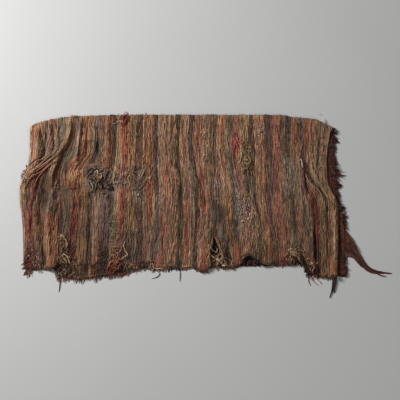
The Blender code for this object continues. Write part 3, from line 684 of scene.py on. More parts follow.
# Darker and lighter places, partly dirt and wear and partly painted shade and painted light: rib and row,
# half width in ribs, half length in rows, and change of tone.
SOIL_AND_SHADING = {
    "lower third": (150, 118, 160, 14, -0.05),
    "upper corner": (24, 14, 22, 14, -0.05),
    "bright corner": (13, 28, 5, 18, 0.25),
    # Painted shade: the hollow under the diagonal threads is darkened.
    "under the threads": (21, 77, 9, 14, -0.65),
    "left fold": (18, 96, 26, 18, -0.25),
    "left foot": (18, 139, 17, 16, -0.5),
    "lighter lobe": (31, 128, 7, 20, 0.5),
    # Painted light and shade at the upper valley: lighter along it against its shadow, darker at its foot and
    # under the bulge.
    "light upper valley": (50, 20, 8, 14, 0.2),
    "upper valley foot": (47, 44, 5, 9, -0.3),
    "lighter bulge": (58, 53, 9, 14, 0.5),
    "under the bulge": (49, 82, 6, 9, -0.4),
    "darker red field": (57, 118, 12, 24, -0.45),
    "tangled foot": (58, 148, 20, 12, -0.25),
    "ochre run end": (64, 130, 8, 14, -0.2),
    "lighter streak": (74, 136, 2.5, 14, 0.3),
    "dark stripe": (68.6, 116, 2.5, 36, -0.3),
    "dark end": (84, 151, 5, 13, -0.4),
    "below the swirl": (87, 76, 9, 8, -0.25),
    "rosy band": (85, 114, 13, 24, -0.4),
    "faded top": (90, 28, 6, 26, -0.2),
    "lighter coral": (105, 40, 7, 40, 0.15),
    "knotted crest": (112, 64, 12, 9, 0.25),
    "speckled foot": (103, 136, 13, 13, -0.3),
    "notch": (118, 144, 14, 12, -0.3),
    "rose run": (124, 106, 14, 24, -0.25),
    "lighter pinkish run": (162, 32, 6, 22, 0.1),
    "lighter rust run": (158, 132, 8, 12, 0.4),
    "tan run": (173, 108, 9, 22, -0.35),
    "lighter rosy lobe": (182, 134, 4, 18, 0.25),
    "lighter wave": (192, 28, 11, 22, 0.2),
    "by the tear": (205, 118, 14, 26, -0.35),
    "lighter orange end": (215.5, 144, 4, 10, 0.25),
    "above the arch": (228, 104, 12, 26, 0.15),
    # Painted shade: the arch of the hem, over the dark hollow under its lifted edge.
    "arch": (236, 144, 14, 12, -0.35),
    "far right knots": (240, 17, 5, 8, 0.3),
    "lighter tan run": (258, 38, 7, 24, 0.2),
    "right field": (263, 110, 15, 20, 0.15),
    "cream tangle": (270, 147, 14, 8, -0.2),
    "faded field": (271, 36, 7, 8, -0.2),
    "pale field": (269, 62, 9, 16, 0.15),
    "right field seam": (286, 104, 6, 10, -0.2),
    "crest": (296, 76, 12, 14, -0.1),
    "right foot": (300, 136, 17, 24, -0.2),
    "lighter right edge": (314.5, 124, 2, 36, 0.2),
    "hem": (160, 155, 170, 5, -0.15),
}


def crease_height(rib, row):
    """Sum of the creases: each is a narrow bell across its line, dying out at both ends."""
    total = np.zeros(np.shape(rib))
    for half_width, height, line in CREASES.values():
        bell = np.exp(-(((rib - along(line, row)) / half_width) ** 2))
        total += height / 1000 * bell * dying_out(line, row, CREASE_END)
    return total


def soil_and_shading(rib, row):
    """Change of tone by dirt and wear, and by painted shade and painted light."""
    total = np.zeros(np.broadcast(rib, row).shape)
    for middle, line, half_width, half_length, change in SOIL_AND_SHADING.values():
        total += change * np.exp(-(((rib - middle) / half_width) ** 2) - ((row - line) / half_length) ** 2)
    return total


STRIPE_GAIN = 1.3  # share of the charted height that the stripes keep in the cloth


def fine_relief(warp, rib, row):
    """Stripes, the ropy unevenness of hand-spun warp, and the rough ground where it is rumpled."""
    ropes = 1.2 * swell(warp / 2.1, row / 11, 11) + 0.9 * swell(warp / 4.5, row / 17, 12)
    rough = 1.8 * swell(rib / 2.1, row / 2.3, 13) + 1.4 * swell(rib / 3.6, row / 4, 14)
    share = rumpled(rib, row)
    uneven = (ropes + rough * (0.15 + 0.85 * share)) / 1000
    return STRIPE_GAIN * stripe_lift(warp) + crease_height(rib, row) + uneven


SHIFT_RUN = 0.02  # run past the bend over which the ribs leave their places at the fold
RELIEF_RUN = 0.03  # run past the bend over which folds and ridges rise


def upper_layer(warp, row):
    """Place of the upper layer's middle surface at a warp place and a row, below the bend at the fold."""
    top_rib = rib_of(warp, np.zeros(np.shape(warp)))
    fold_row = along(FOLD_LINE, top_rib)
    past_bend = (row - fold_row - BEND_ROWS) * ROW
    rib = top_rib + (rib_of(warp, row) - top_rib) * ease(past_bend / SHIFT_RUN)
    bulge = (LOW + 2 * FOLD_RADIUS - HIGH) * np.exp(-((past_bend / FOLD_SETTLE) ** 2))
    settled = ease(past_bend / RELIEF_RUN)
    height = lying_height(rib, row) + bulge + (fold_height(rib, row) + fine_relief(warp, rib, row)) * settled
    return np.stack([world_x(rib), world_y(row), np.maximum(height, LOW)], axis=-1)


COLUMNS = 392
UNDER_STEPS = 16
BEND_STEPS = 8
UPPER_STEPS = 98
FINER_AT_FOLD = 0.35  # share by which the upper layer's steps are finer at the fold than at the hem
UNDER_SHIFT_ROWS = 8  # rows over which the under layer's ribs leave their places at the fold
BEND_ROUND = 4  # charted rows round the bend
HEM_JAG = 1.3  # rows by which single yarns end short or long at the hem


def warp_columns():
    """Warp place of each column of the mesh: even, with two columns held at the sides of each rip."""
    marks = np.linspace(LEFT_EDGE, RIGHT_EDGE, COLUMNS + 1)
    for name in RIPS:
        place = WARP_LINES[name][0]
        first = np.searchsorted(marks, place) - 1
        marks[first] = place - RIP_SPAN / 2
        marks[first + 1] = place + RIP_SPAN / 2
    return marks


def cloth_surface(warp):
    """Middle surface of the cloth from the under end, round the fold, to the hem: its points and their rows.

    The under layer's rows count down from the fold too, and are negative.
    """
    top_rib = rib_of(warp, np.zeros(len(warp)))
    fold_row = along(FOLD_LINE, top_rib)
    hem_rib = rib_of(warp, np.full(len(warp), LEVELS[-1]))
    jag = HEM_JAG * (swell(warp / 1.1, 0 * warp, 21) + 0.6 * swell(warp / 4, 0 * warp, 22))
    hem_row = along(FRONT_HEM, hem_rib) + jag

    across = (top_rib - top_rib[0]) / (top_rib[-1] - top_rib[0])
    back_rib = BACK_LEFT[-1] + (BACK_RIGHT[-1] - BACK_LEFT[-1]) * across
    under_end = along(BACK_HEM, back_rib) + 0.6 * jag
    share = np.linspace(1, 0, UNDER_STEPS + 1)[:, None]
    row = fold_row + BEND_ROWS + share * (under_end - fold_row - BEND_ROWS)
    left = curve(BACK_LEVELS, BACK_LEFT, row)
    right = curve(BACK_LEVELS, BACK_RIGHT, row)
    settled = ease((row - fold_row - BEND_ROWS) / UNDER_SHIFT_ROWS)
    rib = top_rib + (left + (right - left) * across - top_rib) * settled
    under = np.stack([world_x(rib), world_y(row), np.full(row.shape, LOW)], axis=-1)
    under_rows = -row

    angle = np.linspace(-math.pi / 2, math.pi / 2, BEND_STEPS + 1)[1:-1, None]
    row = fold_row + BEND_ROWS * (1 - np.cos(angle))
    height = LOW + FOLD_RADIUS * (1 + np.sin(angle)) + 0 * row
    bend = np.stack([world_x(top_rib + 0 * row), world_y(row), height], axis=-1)
    bend_rows = fold_row + angle / math.pi * BEND_ROUND

    share = np.linspace(0, 1, UPPER_STEPS + 1)[:, None]
    share = share * (1 - FINER_AT_FOLD) + share**2 * FINER_AT_FOLD
    row = fold_row + BEND_ROWS + share * (hem_row - fold_row - BEND_ROWS)
    upper = upper_layer(np.broadcast_to(warp, row.shape), row)
    return np.concatenate([under, bend, upper]), np.concatenate([under_rows, bend_rows, row])


def grid_faces(lines, columns):
    """Corners of each cell of a grid of points: it faces up when columns run to +X and lines to -Y."""
    corner = np.arange(lines * columns).reshape(lines, columns)
    cells = [corner[:-1, :-1], corner[1:, :-1], corner[1:, 1:], corner[:-1, 1:]]
    return np.stack(cells, axis=-1)


def make_piece(name, points, faces, place, patch, material):
    """A mesh piece with its yarn places and its patches as attributes, and smooth faces."""
    mesh = bpy.data.meshes.new(name)
    corners = [face for kind in faces for face in kind.reshape(-1, kind.shape[-1]).tolist()]
    mesh.from_pydata(points.reshape(-1, 3), [], corners)
    mesh.attributes.new("yarn_place", "FLOAT_VECTOR", "POINT").data.foreach_set("vector", place.ravel())
    mesh.attributes.new("patch", "FLOAT_COLOR", "POINT").data.foreach_set("color", patch.ravel())
    mesh.shade_smooth()
    mesh.materials.append(material)
    piece = bpy.data.objects.new(name, mesh)
    bpy.context.scene.collection.objects.link(piece)
    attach(piece, "root")
    return piece


class Socket:
    """An output of a material's node: sums, products and the like of sockets add Math nodes."""

    def __init__(self, recipe, output):
        self.recipe = recipe
        self.output = output

    def math(self, operation, *others):
        values = dict(enumerate((self,) + others))
        return self.recipe.node("ShaderNodeMath", {"operation": operation}, values)[0]

    def __add__(self, other):
        return self.math("ADD", other)

    def __sub__(self, other):
        return self.math("SUBTRACT", other)

    def __rsub__(self, other):
        return self.recipe.node("ShaderNodeMath", {"operation": "SUBTRACT"}, {0: other, 1: self})[0]

    def __mul__(self, other):
        return self.math("MULTIPLY", other)

    def __truediv__(self, other):
        return self.math("DIVIDE", other)

    __radd__ = __add__
    __rmul__ = __mul__

    def held(self):
        """The value, held between 0 and 1."""
        return self.recipe.node("ShaderNodeClamp", {}, {"Value": self})[0]


PLY_LENGTH = 0.0085  # run of yarn in one turn of its plies


class Recipe:
    """A material's node tree, built up from expressions on its sockets."""

    def __init__(self, name, roughness, sheen):
        self.material = bpy.data.materials.new(name)
        self.material.use_nodes = True
        self.tree = self.material.node_tree
        self.shader = self.tree.nodes["Principled BSDF"]
        self.shader.inputs["Roughness"].default_value = roughness
        self.shader.inputs["Specular IOR Level"].default_value = 0.15
        self.shader.inputs["Sheen Weight"].default_value = sheen
        self.shader.inputs["Sheen Roughness"].default_value = 0.6

    def node(self, kind, settings, sockets):
        """Adds a node: its settings first, a ramp's stops among them, then its sockets' values or links."""
        made = self.tree.nodes.new(kind)
        for name, value in settings.items():
            if name == "stops":
                ramp = made.color_ramp
                ramp.interpolation = "CONSTANT"
                while len(ramp.elements) < len(value):
                    ramp.elements.new(1.0)
                for element, (place, colour) in zip(ramp.elements, value):
                    element.position = place
                    element.color = (*colour, 1.0)
            else:
                setattr(made, name, value)
        for name, value in sockets.items():
            if isinstance(value, Socket):
                self.tree.links.new(value.output, made.inputs[name])
            else:
                made.inputs[name].default_value = value
        return [Socket(self, output) for output in made.outputs]

    def mix(self, first, second, factor, blend="MIX"):
        """Mixes two colours, the second over the first."""
        settings = {"data_type": "RGBA", "blend_type": blend, "clamp_factor": True}
        return self.node("ShaderNodeMix", settings, {0: factor, 6: first, 7: second})[2]

    def vector(self, x, y, z=0.0):
        return self.node("ShaderNodeCombineXYZ", {}, {"X": x, "Y": y, "Z": z})[0]

    def noise(self, vector, scale, detail=2.0, roughness=0.5):
        sockets = {"Vector": vector, "Scale": scale, "Detail": detail, "Roughness": roughness}
        return self.node("ShaderNodeTexNoise", {}, sockets)[0]

    def uneven(self, across, down, shift, detail=2.0):
        """Noise from -0.5 to 0.5 over a place across and down the yarns. Each use has its own shift."""
        return self.noise(self.vector(across, down, shift), 1.0, detail) - 0.5

    def tinted(self, colour, wool, factor):
        """A wool of the palette, mixed over a colour."""
        return self.mix(colour, (*wool_colour(wool), 1.0), factor)

    def toned(self, colour, value):
        """A colour, made lighter or darker by a value."""
        return self.mix(colour, self.vector(value, value, value), 1.0, "MULTIPLY")

    def yarn(self):
        """Warp place, run and tone of the yarn, how much painted shade its edges take, and the wave of its
        plies.
        """
        place = self.node("ShaderNodeAttribute", {"attribute_name": "yarn_place"}, {})[1]
        warp, run, tone = self.node("ShaderNodeSeparateXYZ", {}, {0: place})
        within = warp.math("FRACT")
        # Painted shade: the edges of a yarn, where it meets its neighbours, are darkened.
        edge = ((within - 0.5).math("ABSOLUTE") * 2.0).math("POWER", 3.0)
        plies = (run * (2 * math.pi / PLY_LENGTH) + within * 5.0).math("SINE")
        return warp, run, tone, edge, plies

    def finish(self, colour, height, depth):
        """Links the colour, and a bump of the given depth in metres."""
        self.tree.links.new(colour.output, self.shader.inputs["Base Color"])
        bump = self.node("ShaderNodeBump", {}, {"Height": height, "Distance": depth, "Strength": 1.0})[0]
        self.tree.links.new(bump.output, self.shader.inputs["Normal"])
        return self.material


RAMP_STOPS = 32  # the most stops that one colour ramp holds
PAST_EDGE = 10.0  # ribs past the right edge that the ramps still cover
LEAST_VALUE = 0.2  # the darkest that chance may make a yarn
LEAST_TONE = 0.12  # the darkest that dirt, wear and painted shade may make it
FUZZ_DEPTH = 0.0012


def spun_wool(name):
    """Hand-spun wool in stripes.

    Each yarn takes its stripe's wool from the warp chart by its place, nudged a little by chance. It is then
    mixed with the patch that it runs through, which holds stains and mends and, in places, painted shade,
    varied along its run, tinted by other wools, paled by its raised fibre and by a painted highlight on it,
    and darkened by painted shade in its pits and in the hollows beside its neighbours, and by its tone of
    dirt, wear and painted shade.
    """
    wool = Recipe(name, 0.95, 0.06)
    warp, run, tone, edge, plies = wool.yarn()
    yarn = warp.math("FLOOR")
    chance, shades = wool.node("ShaderNodeTexWhiteNoise", {"noise_dimensions": "1D"}, {"W": yarn})
    second_chance = wool.node("ShaderNodeSeparateColor", {}, {0: shades})[1]

    drift = wool.uneven(yarn * 2.3, run * 7, 5.0)
    chart_place = yarn + 0.5 + (chance - 0.5) * 1.1 + drift * 3.2
    ramps = []
    edges = [LEFT_EDGE] + [stripe[0] for stripe in STRIPES]
    span = RIGHT_EDGE + PAST_EDGE
    for first in (0, RAMP_STOPS, 2 * RAMP_STOPS):
        part = slice(first, first + RAMP_STOPS)
        stops = [(left / span, wool_colour(stripe[1])) for left, stripe in zip(edges[part], STRIPES[part])]
        ramps.append(wool.node("ShaderNodeValToRGB", {"stops": stops}, {"Fac": chart_place / span})[0])
    colour = wool.mix(ramps[0], ramps[1], chart_place.math("GREATER_THAN", edges[RAMP_STOPS]))
    colour = wool.mix(colour, ramps[2], chart_place.math("GREATER_THAN", edges[2 * RAMP_STOPS]))

    # The patch carries stains and mends, and painted shade where its table says so.
    stain_and_shade = wool.node("ShaderNodeAttribute", {"attribute_name": "patch"}, {})
    strength = stain_and_shade[3]
    edge_chance = (second_chance - 0.5) * (strength * (1 - strength)) * 3.0
    colour = wool.mix(colour, stain_and_shade[0], (strength + edge_chance).held())

    streak = wool.uneven(yarn * 3.7, run * 14, 0.0, 3.0)
    lump = wool.uneven(warp * 0.6, run * 40, 3.0, 3.0)
    fleck = wool.uneven(warp * 1.1, run * 110, 7.0)
    blotch = wool.uneven(warp * 0.09, run * 9, 11.0, 3.0)
    value = 1.0 + streak * 0.75 + lump * 1.5 + fleck * 1.5 + blotch * 0.8 + (chance - 0.5) * 0.3
    colour = wool.toned(colour, value.math("MAXIMUM", LEAST_VALUE))

    takes = (wool.node("ShaderNodeRGBToBW", {}, {"Color": colour})[0] * 9.0).held()
    hue = wool.uneven(warp * 0.3, run * 9, 41.0, 3.0)
    colour = wool.tinted(colour, "coral", takes * (hue * 5.0).held() * 0.4)
    colour = wool.tinted(colour, "grey green", takes * (hue * -5.0).held() * 0.3)
    warm = takes * (wool.uneven(yarn * 5.1, run * 20, 23.0) * 5.0).held()
    colour = wool.tinted(colour, "orange", warm * 0.3)
    cool = takes * (wool.uneven(yarn * 4.3, run * 26, 17.0, 3.0) * 5.0).held()
    colour = wool.tinted(colour, "grey", cool * 0.28)
    # Pale raised fibre, and a painted highlight on it where it would catch the light.
    nap_and_highlight = wool.noise(wool.vector(warp * 1.5, run * 160, 29.0), 1.0, 2.0, 0.6)
    colour = wool.tinted(colour, "cream", takes * ((nap_and_highlight - 0.57) * 7.0).held() * 0.5)
    # Painted shade in the pits and in the hollows at the yarns' edges.
    pits = ((0.42 - wool.noise(wool.vector(warp, run * 90, 31.0), 1.0, 2.0)) * 8.0).held()
    shade = (pits * 0.65 + edge * 0.45).held()
    colour = wool.tinted(colour, "dark brown", shade * 0.66)
    colour = wool.toned(colour, (tone + 1.0).math("MAXIMUM", LEAST_TONE))

    height = plies * 0.25 + nap_and_highlight * 0.7 + lump + fleck * 0.9 - pits * 0.5
    return wool.finish(colour, height, FUZZ_DEPTH)


GROUND_SHADE = -0.3  # painted shade: the cloth that shows between the face's yarns is darker than they are
SEEN_ROW = 145  # row past which the under layer may show
SEEN_MARGIN = 4  # ribs beside its frayed stretch where it shows too
BORDER_WIDTH = 22  # ribs of dark border along the right edge

warp = warp_columns()
points, rows = cloth_surface(warp)
lines, columns = rows.shape
ribs = points[..., 0] / RIB + MIDDLE_RIB
cells = grid_faces(lines, columns)
kept = np.ones(cells.shape[:2], bool)
for name, (tip, _, _) in RIPS.items():
    column = np.searchsorted(warp, WARP_LINES[name][0]) - 1
    torn = rows[:-1, column] > tip
    kept[torn, column] = False
colour, strength = patch_colour(ribs, np.abs(rows))
under = rows < 0
# Painted shade: the under layer is black brown where the upper layer hides it, so it shows black through the
# tear and the slit, and nearly black where it shows in the arches of the hem; along the right edge it takes
# the border's own maroon.
hidden = under & (rows > -SEEN_ROW)
bordered = under & (warp > RIGHT_EDGE - BORDER_WIDTH)
beside_fray = (ribs < UNDER_FRAY_RIBS[0] - SEEN_MARGIN) | (ribs > UNDER_FRAY_RIBS[1] + SEEN_MARGIN)
arched = under & ~hidden & beside_fray
dark_places = ((hidden, "black brown", 1.0), (arched, "black brown", 0.9), (bordered, "maroon", 1.0))
for where, wool, most in dark_places:
    colour[where] = wool_colour(wool)
    strength[where] = most
place = np.stack([np.broadcast_to(warp, rows.shape), rows * ROW, np.full(rows.shape, GROUND_SHADE)], axis=-1)
patch = np.concatenate([colour, strength[..., None]], axis=-1)
striped_wool = spun_wool("striped wool")
cloth = make_piece("blanket_cloth", points, [cells[kept]], place, patch, striped_wool)
thickness = cloth.modifiers.new("thickness", "SOLIDIFY")
thickness.thickness = THICKNESS
thickness.offset = 0.0
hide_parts("blanket")

# The warp yarns of the face.
# Thick hand-spun yarns, packed so close that they hide the weft. Each is uneven, wanders a little beside its
# neighbours, sinks where it is worn, and runs from the back of the bend down to a ragged end at the hem.

WARP_PITCH = 1.3  # ribs from one yarn to the next
WARP_STOPS = 108  # places along a yarn on the face
BEND_STOPS = 6
BEND_BACK = math.radians(-35)  # how far round the back of the bend a yarn starts
WARP_SIDES = 5  # corners of a yarn's section
WARP_HALF_WIDTH = 0.0034
WARP_HALF_HEIGHT = 0.0022
UP = np.array([0.03, 0.02, 1.0])  # nearly upright, so that no heading is quite along it
LEAST_HEIGHT = 0.0002  # no yarn goes into the floor
RIP_MARGIN = 1.1  # ribs between the middle of a rip and the yarns beside it
BEND_UNEVEN = 0.0014
BEND_ROW_SPAN = 1.5  # charted rows in a radian of the bend


def yarn_tubes(paths, half_width, half_height, up, sides):
    """Closed tubes round paths: at each place an ellipse of points square to the heading, ends capped."""
    heading = np.gradient(paths, axis=1)
    heading /= np.maximum(np.linalg.norm(heading, axis=-1, keepdims=True), 1e-9)
    side = np.cross(heading, up)
    side /= np.maximum(np.linalg.norm(side, axis=-1, keepdims=True), 1e-9)
    lift = np.cross(side, heading)
    angle = 2 * math.pi * (np.arange(sides) + 0.25) / sides
    across = np.cos(angle)[:, None] * side[..., None, :] * half_width[..., None, None]
    raised = np.sin(angle)[:, None] * lift[..., None, :] * half_height[..., None, None]
    rings = paths[..., None, :] + across + raised
    rings[..., 2] = np.maximum(rings[..., 2], LEAST_HEIGHT)
    corner = np.arange(half_width.size * sides).reshape(half_width.shape + (sides,))
    beside = np.roll(corner, -1, axis=2)
    walls = np.stack([corner[:, :-1], corner[:, 1:], beside[:, 1:], beside[:, :-1]], axis=-1)
    caps = np.concatenate([corner[:, 0], corner[:, -1, ::-1]])
    return rings, [walls, caps], np.cos(angle)


def make_yarns(name, paths, half_width, half_height, warp, run, tone, patch, material, up=UP, sides=4):
    """A piece of many yarns: each takes one place in the warp, and keeps its own tone and stretch of run."""
    rings, faces, across = yarn_tubes(paths, half_width, half_height, up, sides)
    # The place across the warp runs round the section, so that the material's painted edge shade darkens the
    # sides of each tube.
    warp = (np.floor(warp) + 0.5)[..., None] + 0.49 * across
    place = np.stack(np.broadcast_arrays(warp, run[..., None], tone[..., None]), axis=-1)
    place = np.broadcast_to(place, rings.shape[:-1] + (3,))
    patch = np.broadcast_to(patch[..., None, :], rings.shape[:-1] + (4,))
    return make_piece(name, rings, faces, place, patch, material)


def patch_of(rib, row):
    """The patches' colour and strength side by side, as a piece's attribute holds them."""
    colour, strength = patch_colour(rib, row)
    return np.concatenate([colour, strength[..., None]], axis=-1)


def warp_yarns(name, first, last):
    """The face's yarns between two warp places, bent round the fold and then laid down the upper layer."""
    base = np.arange(first, last, WARP_PITCH)[:, None]
    for rip in RIPS:
        middle = WARP_LINES[rip][0]
        near = np.abs(base - middle) < RIP_MARGIN
        base = np.where(near, middle + np.where(base < middle, -RIP_MARGIN, RIP_MARGIN), base)
    hem_rib = rib_of(base[:, 0], np.full(len(base), LEVELS[-1]))
    ragged = 1.2 * swell(base * 3.1, 0 * base, 61) + 0.9 * swell(base / 3, 0 * base, 62) - 0.4
    end = along(FRONT_HEM, hem_rib)[:, None] + ragged
    top_rib = rib_of(base, 0 * base)
    bend_row = along(FOLD_LINE, top_rib) + BEND_ROWS
    share = np.linspace(0, 1, WARP_STOPS)
    row = bend_row + share * (end - bend_row)
    calm = 0.35 + 0.65 * rumpled(rib_of(base + 0 * row, row), row)
    wander = 0.55 * swell(base * 0.37, row / 13, 63) + 0.9 * calm * swell(base * 1.7, row / 5, 64)
    for rip, (tip, _, _) in RIPS.items():
        beside = np.abs(base - WARP_LINES[rip][0]) < 3
        wander = np.where(beside & (row > tip - 6), 0.0, wander)
    face = upper_layer(np.clip(base + wander, LEFT_EDGE + 0.4, RIGHT_EDGE - 0.4), row)
    thick = 0.85 + 0.4 * swell(base * 5.3, row / 4, 65) + 0.3 * swell(base * 2.9, row / 12, 66)
    worn = ease((swell(base * 4.7, row / 6, 67) - 0.45) * 4)
    face[..., 2] += THICKNESS / 2 + WARP_HALF_HEIGHT * (0.35 * swell(base * 1.3, row / 3, 68) - 1.3 * worn)
    angle = np.linspace(BEND_BACK, math.pi / 2, BEND_STOPS + 1)[:-1]
    reach = FOLD_RADIUS + THICKNESS / 2 + BEND_UNEVEN * swell(base * 0.9, 0 * base, 72)
    reach = reach + BEND_UNEVEN * swell(base / 5, 0 * base, 73)
    bend = np.stack([
        world_x(top_rib) + 0 * angle,
        world_y(bend_row) + reach * np.cos(angle) + 0 * top_rib,
        LOW + FOLD_RADIUS + reach * np.sin(angle) + 0 * top_rib,
    ], axis=-1)
    paths = np.concatenate([bend, face], axis=1)
    row = np.concatenate([bend_row + (angle - math.pi / 2) * BEND_ROW_SPAN, row], axis=1)
    worn_and_shaded = np.concatenate([0 * bend[..., 0], worn], axis=1)
    thick = np.concatenate([0.9 + 0 * bend[..., 0], thick], axis=1)
    thick[:, 0] *= 0.4
    thick[:, -1] *= 0.45
    thick[:, -2] *= 0.8
    up = np.zeros(paths.shape)
    up[:, :BEND_STOPS, 1] = np.cos(angle)
    up[:, :BEND_STOPS, 2] = np.sin(angle)
    up[:, BEND_STOPS:, 2] = 1.0
    ribs = paths[..., 0] / RIB + MIDDLE_RIB
    # Worn yarns sink and are darker: partly wear, partly painted shade in the dip.
    tone = 0.12 * swell(base * 9.1, row / 30, 69) + 0.2 * swell(base / 1.9, row / 2.4, 70) - 0.15 * worn_and_shaded
    tone = tone + soil_and_shading(ribs, row)
    patch = patch_of(ribs, row)
    width = WARP_HALF_WIDTH * thick
    height = WARP_HALF_HEIGHT * (0.5 + 0.5 * thick)
    run = row * ROW
    pieces = make_yarns(name, paths, width, height, base, run, tone, patch, striped_wool, up, WARP_SIDES)
    return pieces


MIDDLE_WARP = (LEFT_EDGE + RIGHT_EDGE) / 2
left_warp = warp_yarns("warp_yarns_left", LEFT_EDGE + 0.6, MIDDLE_WARP)
right_warp = warp_yarns("warp_yarns_right", MIDDLE_WARP + 0.2, RIGHT_EDGE - 0.3)

# Slack yarns and snarls on the face.
# Broken and slack warp of the same wool, lifted from the weave by wear. It mostly runs with its stripe, and
# lies in snarls where the cloth is rumpled, frayed or torn. Each is a tapering length, caught at its ends.

TABLE_STEP = 0.5
TABLE_RIBS = np.arange(-2.0, 330.0, TABLE_STEP)
TABLE_ROWS = np.arange(-2.0, 175.0)
YARN_RADIUS = 0.0011
HEM_SLOPE = 1.6  # rows over which a loose yarn comes down past a hem


def warp_table():
    """Warp place at each rib, one line for each row: the inverse of rib_of."""
    marks = np.linspace(LEFT_EDGE, RIGHT_EDGE, 1249)
    lines = [np.maximum.accumulate(rib_of(marks, np.full(marks.shape, row))) for row in TABLE_ROWS]
    return np.stack([np.interp(TABLE_RIBS, line, marks) for line in lines])


WARP_TABLE = warp_table()


def warp_at(rib, row):
    """Warp place at a rib and a row, from the nearest line of the table."""
    line = np.clip(np.rint(row - TABLE_ROWS[0]).astype(int), 0, len(TABLE_ROWS) - 1)
    place = np.clip((rib - TABLE_RIBS[0]) / TABLE_STEP, 0, len(TABLE_RIBS) - 1.001)
    before = np.floor(place).astype(int)
    share = place - before
    return WARP_TABLE[line, before] * (1 - share) + WARP_TABLE[line, before + 1] * share


def ground(rib, row, under=False):
    """Height of what a loose yarn lies on: the upper layer's yarns, the under layer alone, or the floor."""
    left = curve(LEVELS, WARP_LINES["left edge"][1], row)
    right = curve(LEVELS, WARP_LINES["right edge"][1], row)
    inside = ease(rib - left + 0.5) * ease(right - rib + 0.5)
    inside = inside * ease((along(FRONT_HEM, rib) - row) / HEM_SLOPE + 0.5)
    inside = inside * ease((row - along(FOLD_LINE, rib)) * 1.5)
    for name, (tip, _, _) in RIPS.items():
        gap = rip_half_width(name, row) - np.abs(rib - curve(LEVELS, WARP_LINES[name][1], row))
        inside = inside * (1 - ease(gap + 0.3) * (row > tip))
    beneath = ease(rib - curve(BACK_LEVELS, BACK_LEFT, row) + 0.5)
    beneath = beneath * ease(curve(BACK_LEVELS, BACK_RIGHT, row) - rib + 0.5)
    beneath = beneath * ease((along(BACK_HEM, rib) - row) / HEM_SLOPE + 0.5)
    if under:
        return beneath * THICKNESS
    top = upper_layer(warp_at(rib, row), row)[..., 2] + THICKNESS / 2 + 0.8 * WARP_HALF_HEIGHT
    return inside * top + (1 - inside) * beneath * THICKNESS


def lay(rib, row, lift, under=False):
    """Points at ribs and rows, at a height above the ground there."""
    rib, row = np.broadcast_arrays(rib, row)
    return np.stack([world_x(rib), world_y(row), ground(rib, row, under) + lift], axis=-1)


def tapered(share, thickness):
    """Radius along a yarn that is thin at both ends."""
    return YARN_RADIUS * thickness * np.sin(math.pi * (0.06 + 0.88 * share)) ** 0.5


def slack_yarns(count, stops, seed):
    """Slack lengths of warp over the whole face: each follows its stripe with a small wave."""
    chance = np.random.default_rng(seed)
    base = chance.uniform(LEFT_EDGE + 1, RIGHT_EDGE - 1, (count, 1))
    share = np.linspace(0, 1, stops)
    row = chance.uniform(3, 146, (count, 1)) + chance.uniform(4, 13, (count, 1)) * share
    phase = chance.uniform(0, 2 * math.pi, (2, count, 1))
    wave = np.sin(phase[0] + share * 5.5) + 0.6 * np.sin(phase[1] + share * 11)
    warp = base + chance.uniform(-1.6, 1.6, (count, 1)) * share + chance.uniform(0.1, 0.7, (count, 1)) * wave
    warp = np.clip(warp, LEFT_EDGE + 0.5, RIGHT_EDGE - 0.5)
    rib = rib_of(warp, row)
    row = np.minimum(row, along(FRONT_HEM, rib) + 0.5)
    radius = tapered(share, chance.uniform(0.5, 1.3, (count, 1)))
    hump = chance.uniform(0.0, 0.0016, (count, 1)) * np.abs(np.sin(share * chance.uniform(3, 9, (count, 1))))
    paths = lay(rib, row, hump + 0.2 * radius)
    tone = chance.uniform(-0.2, 0.3, (count, 1)) + soil_and_shading(rib, row)
    run = row * ROW + chance.uniform(0, 9, (count, 1))
    return paths, radius, 0.8 * radius, base + 0 * row, run, tone, patch_of(rib, row)


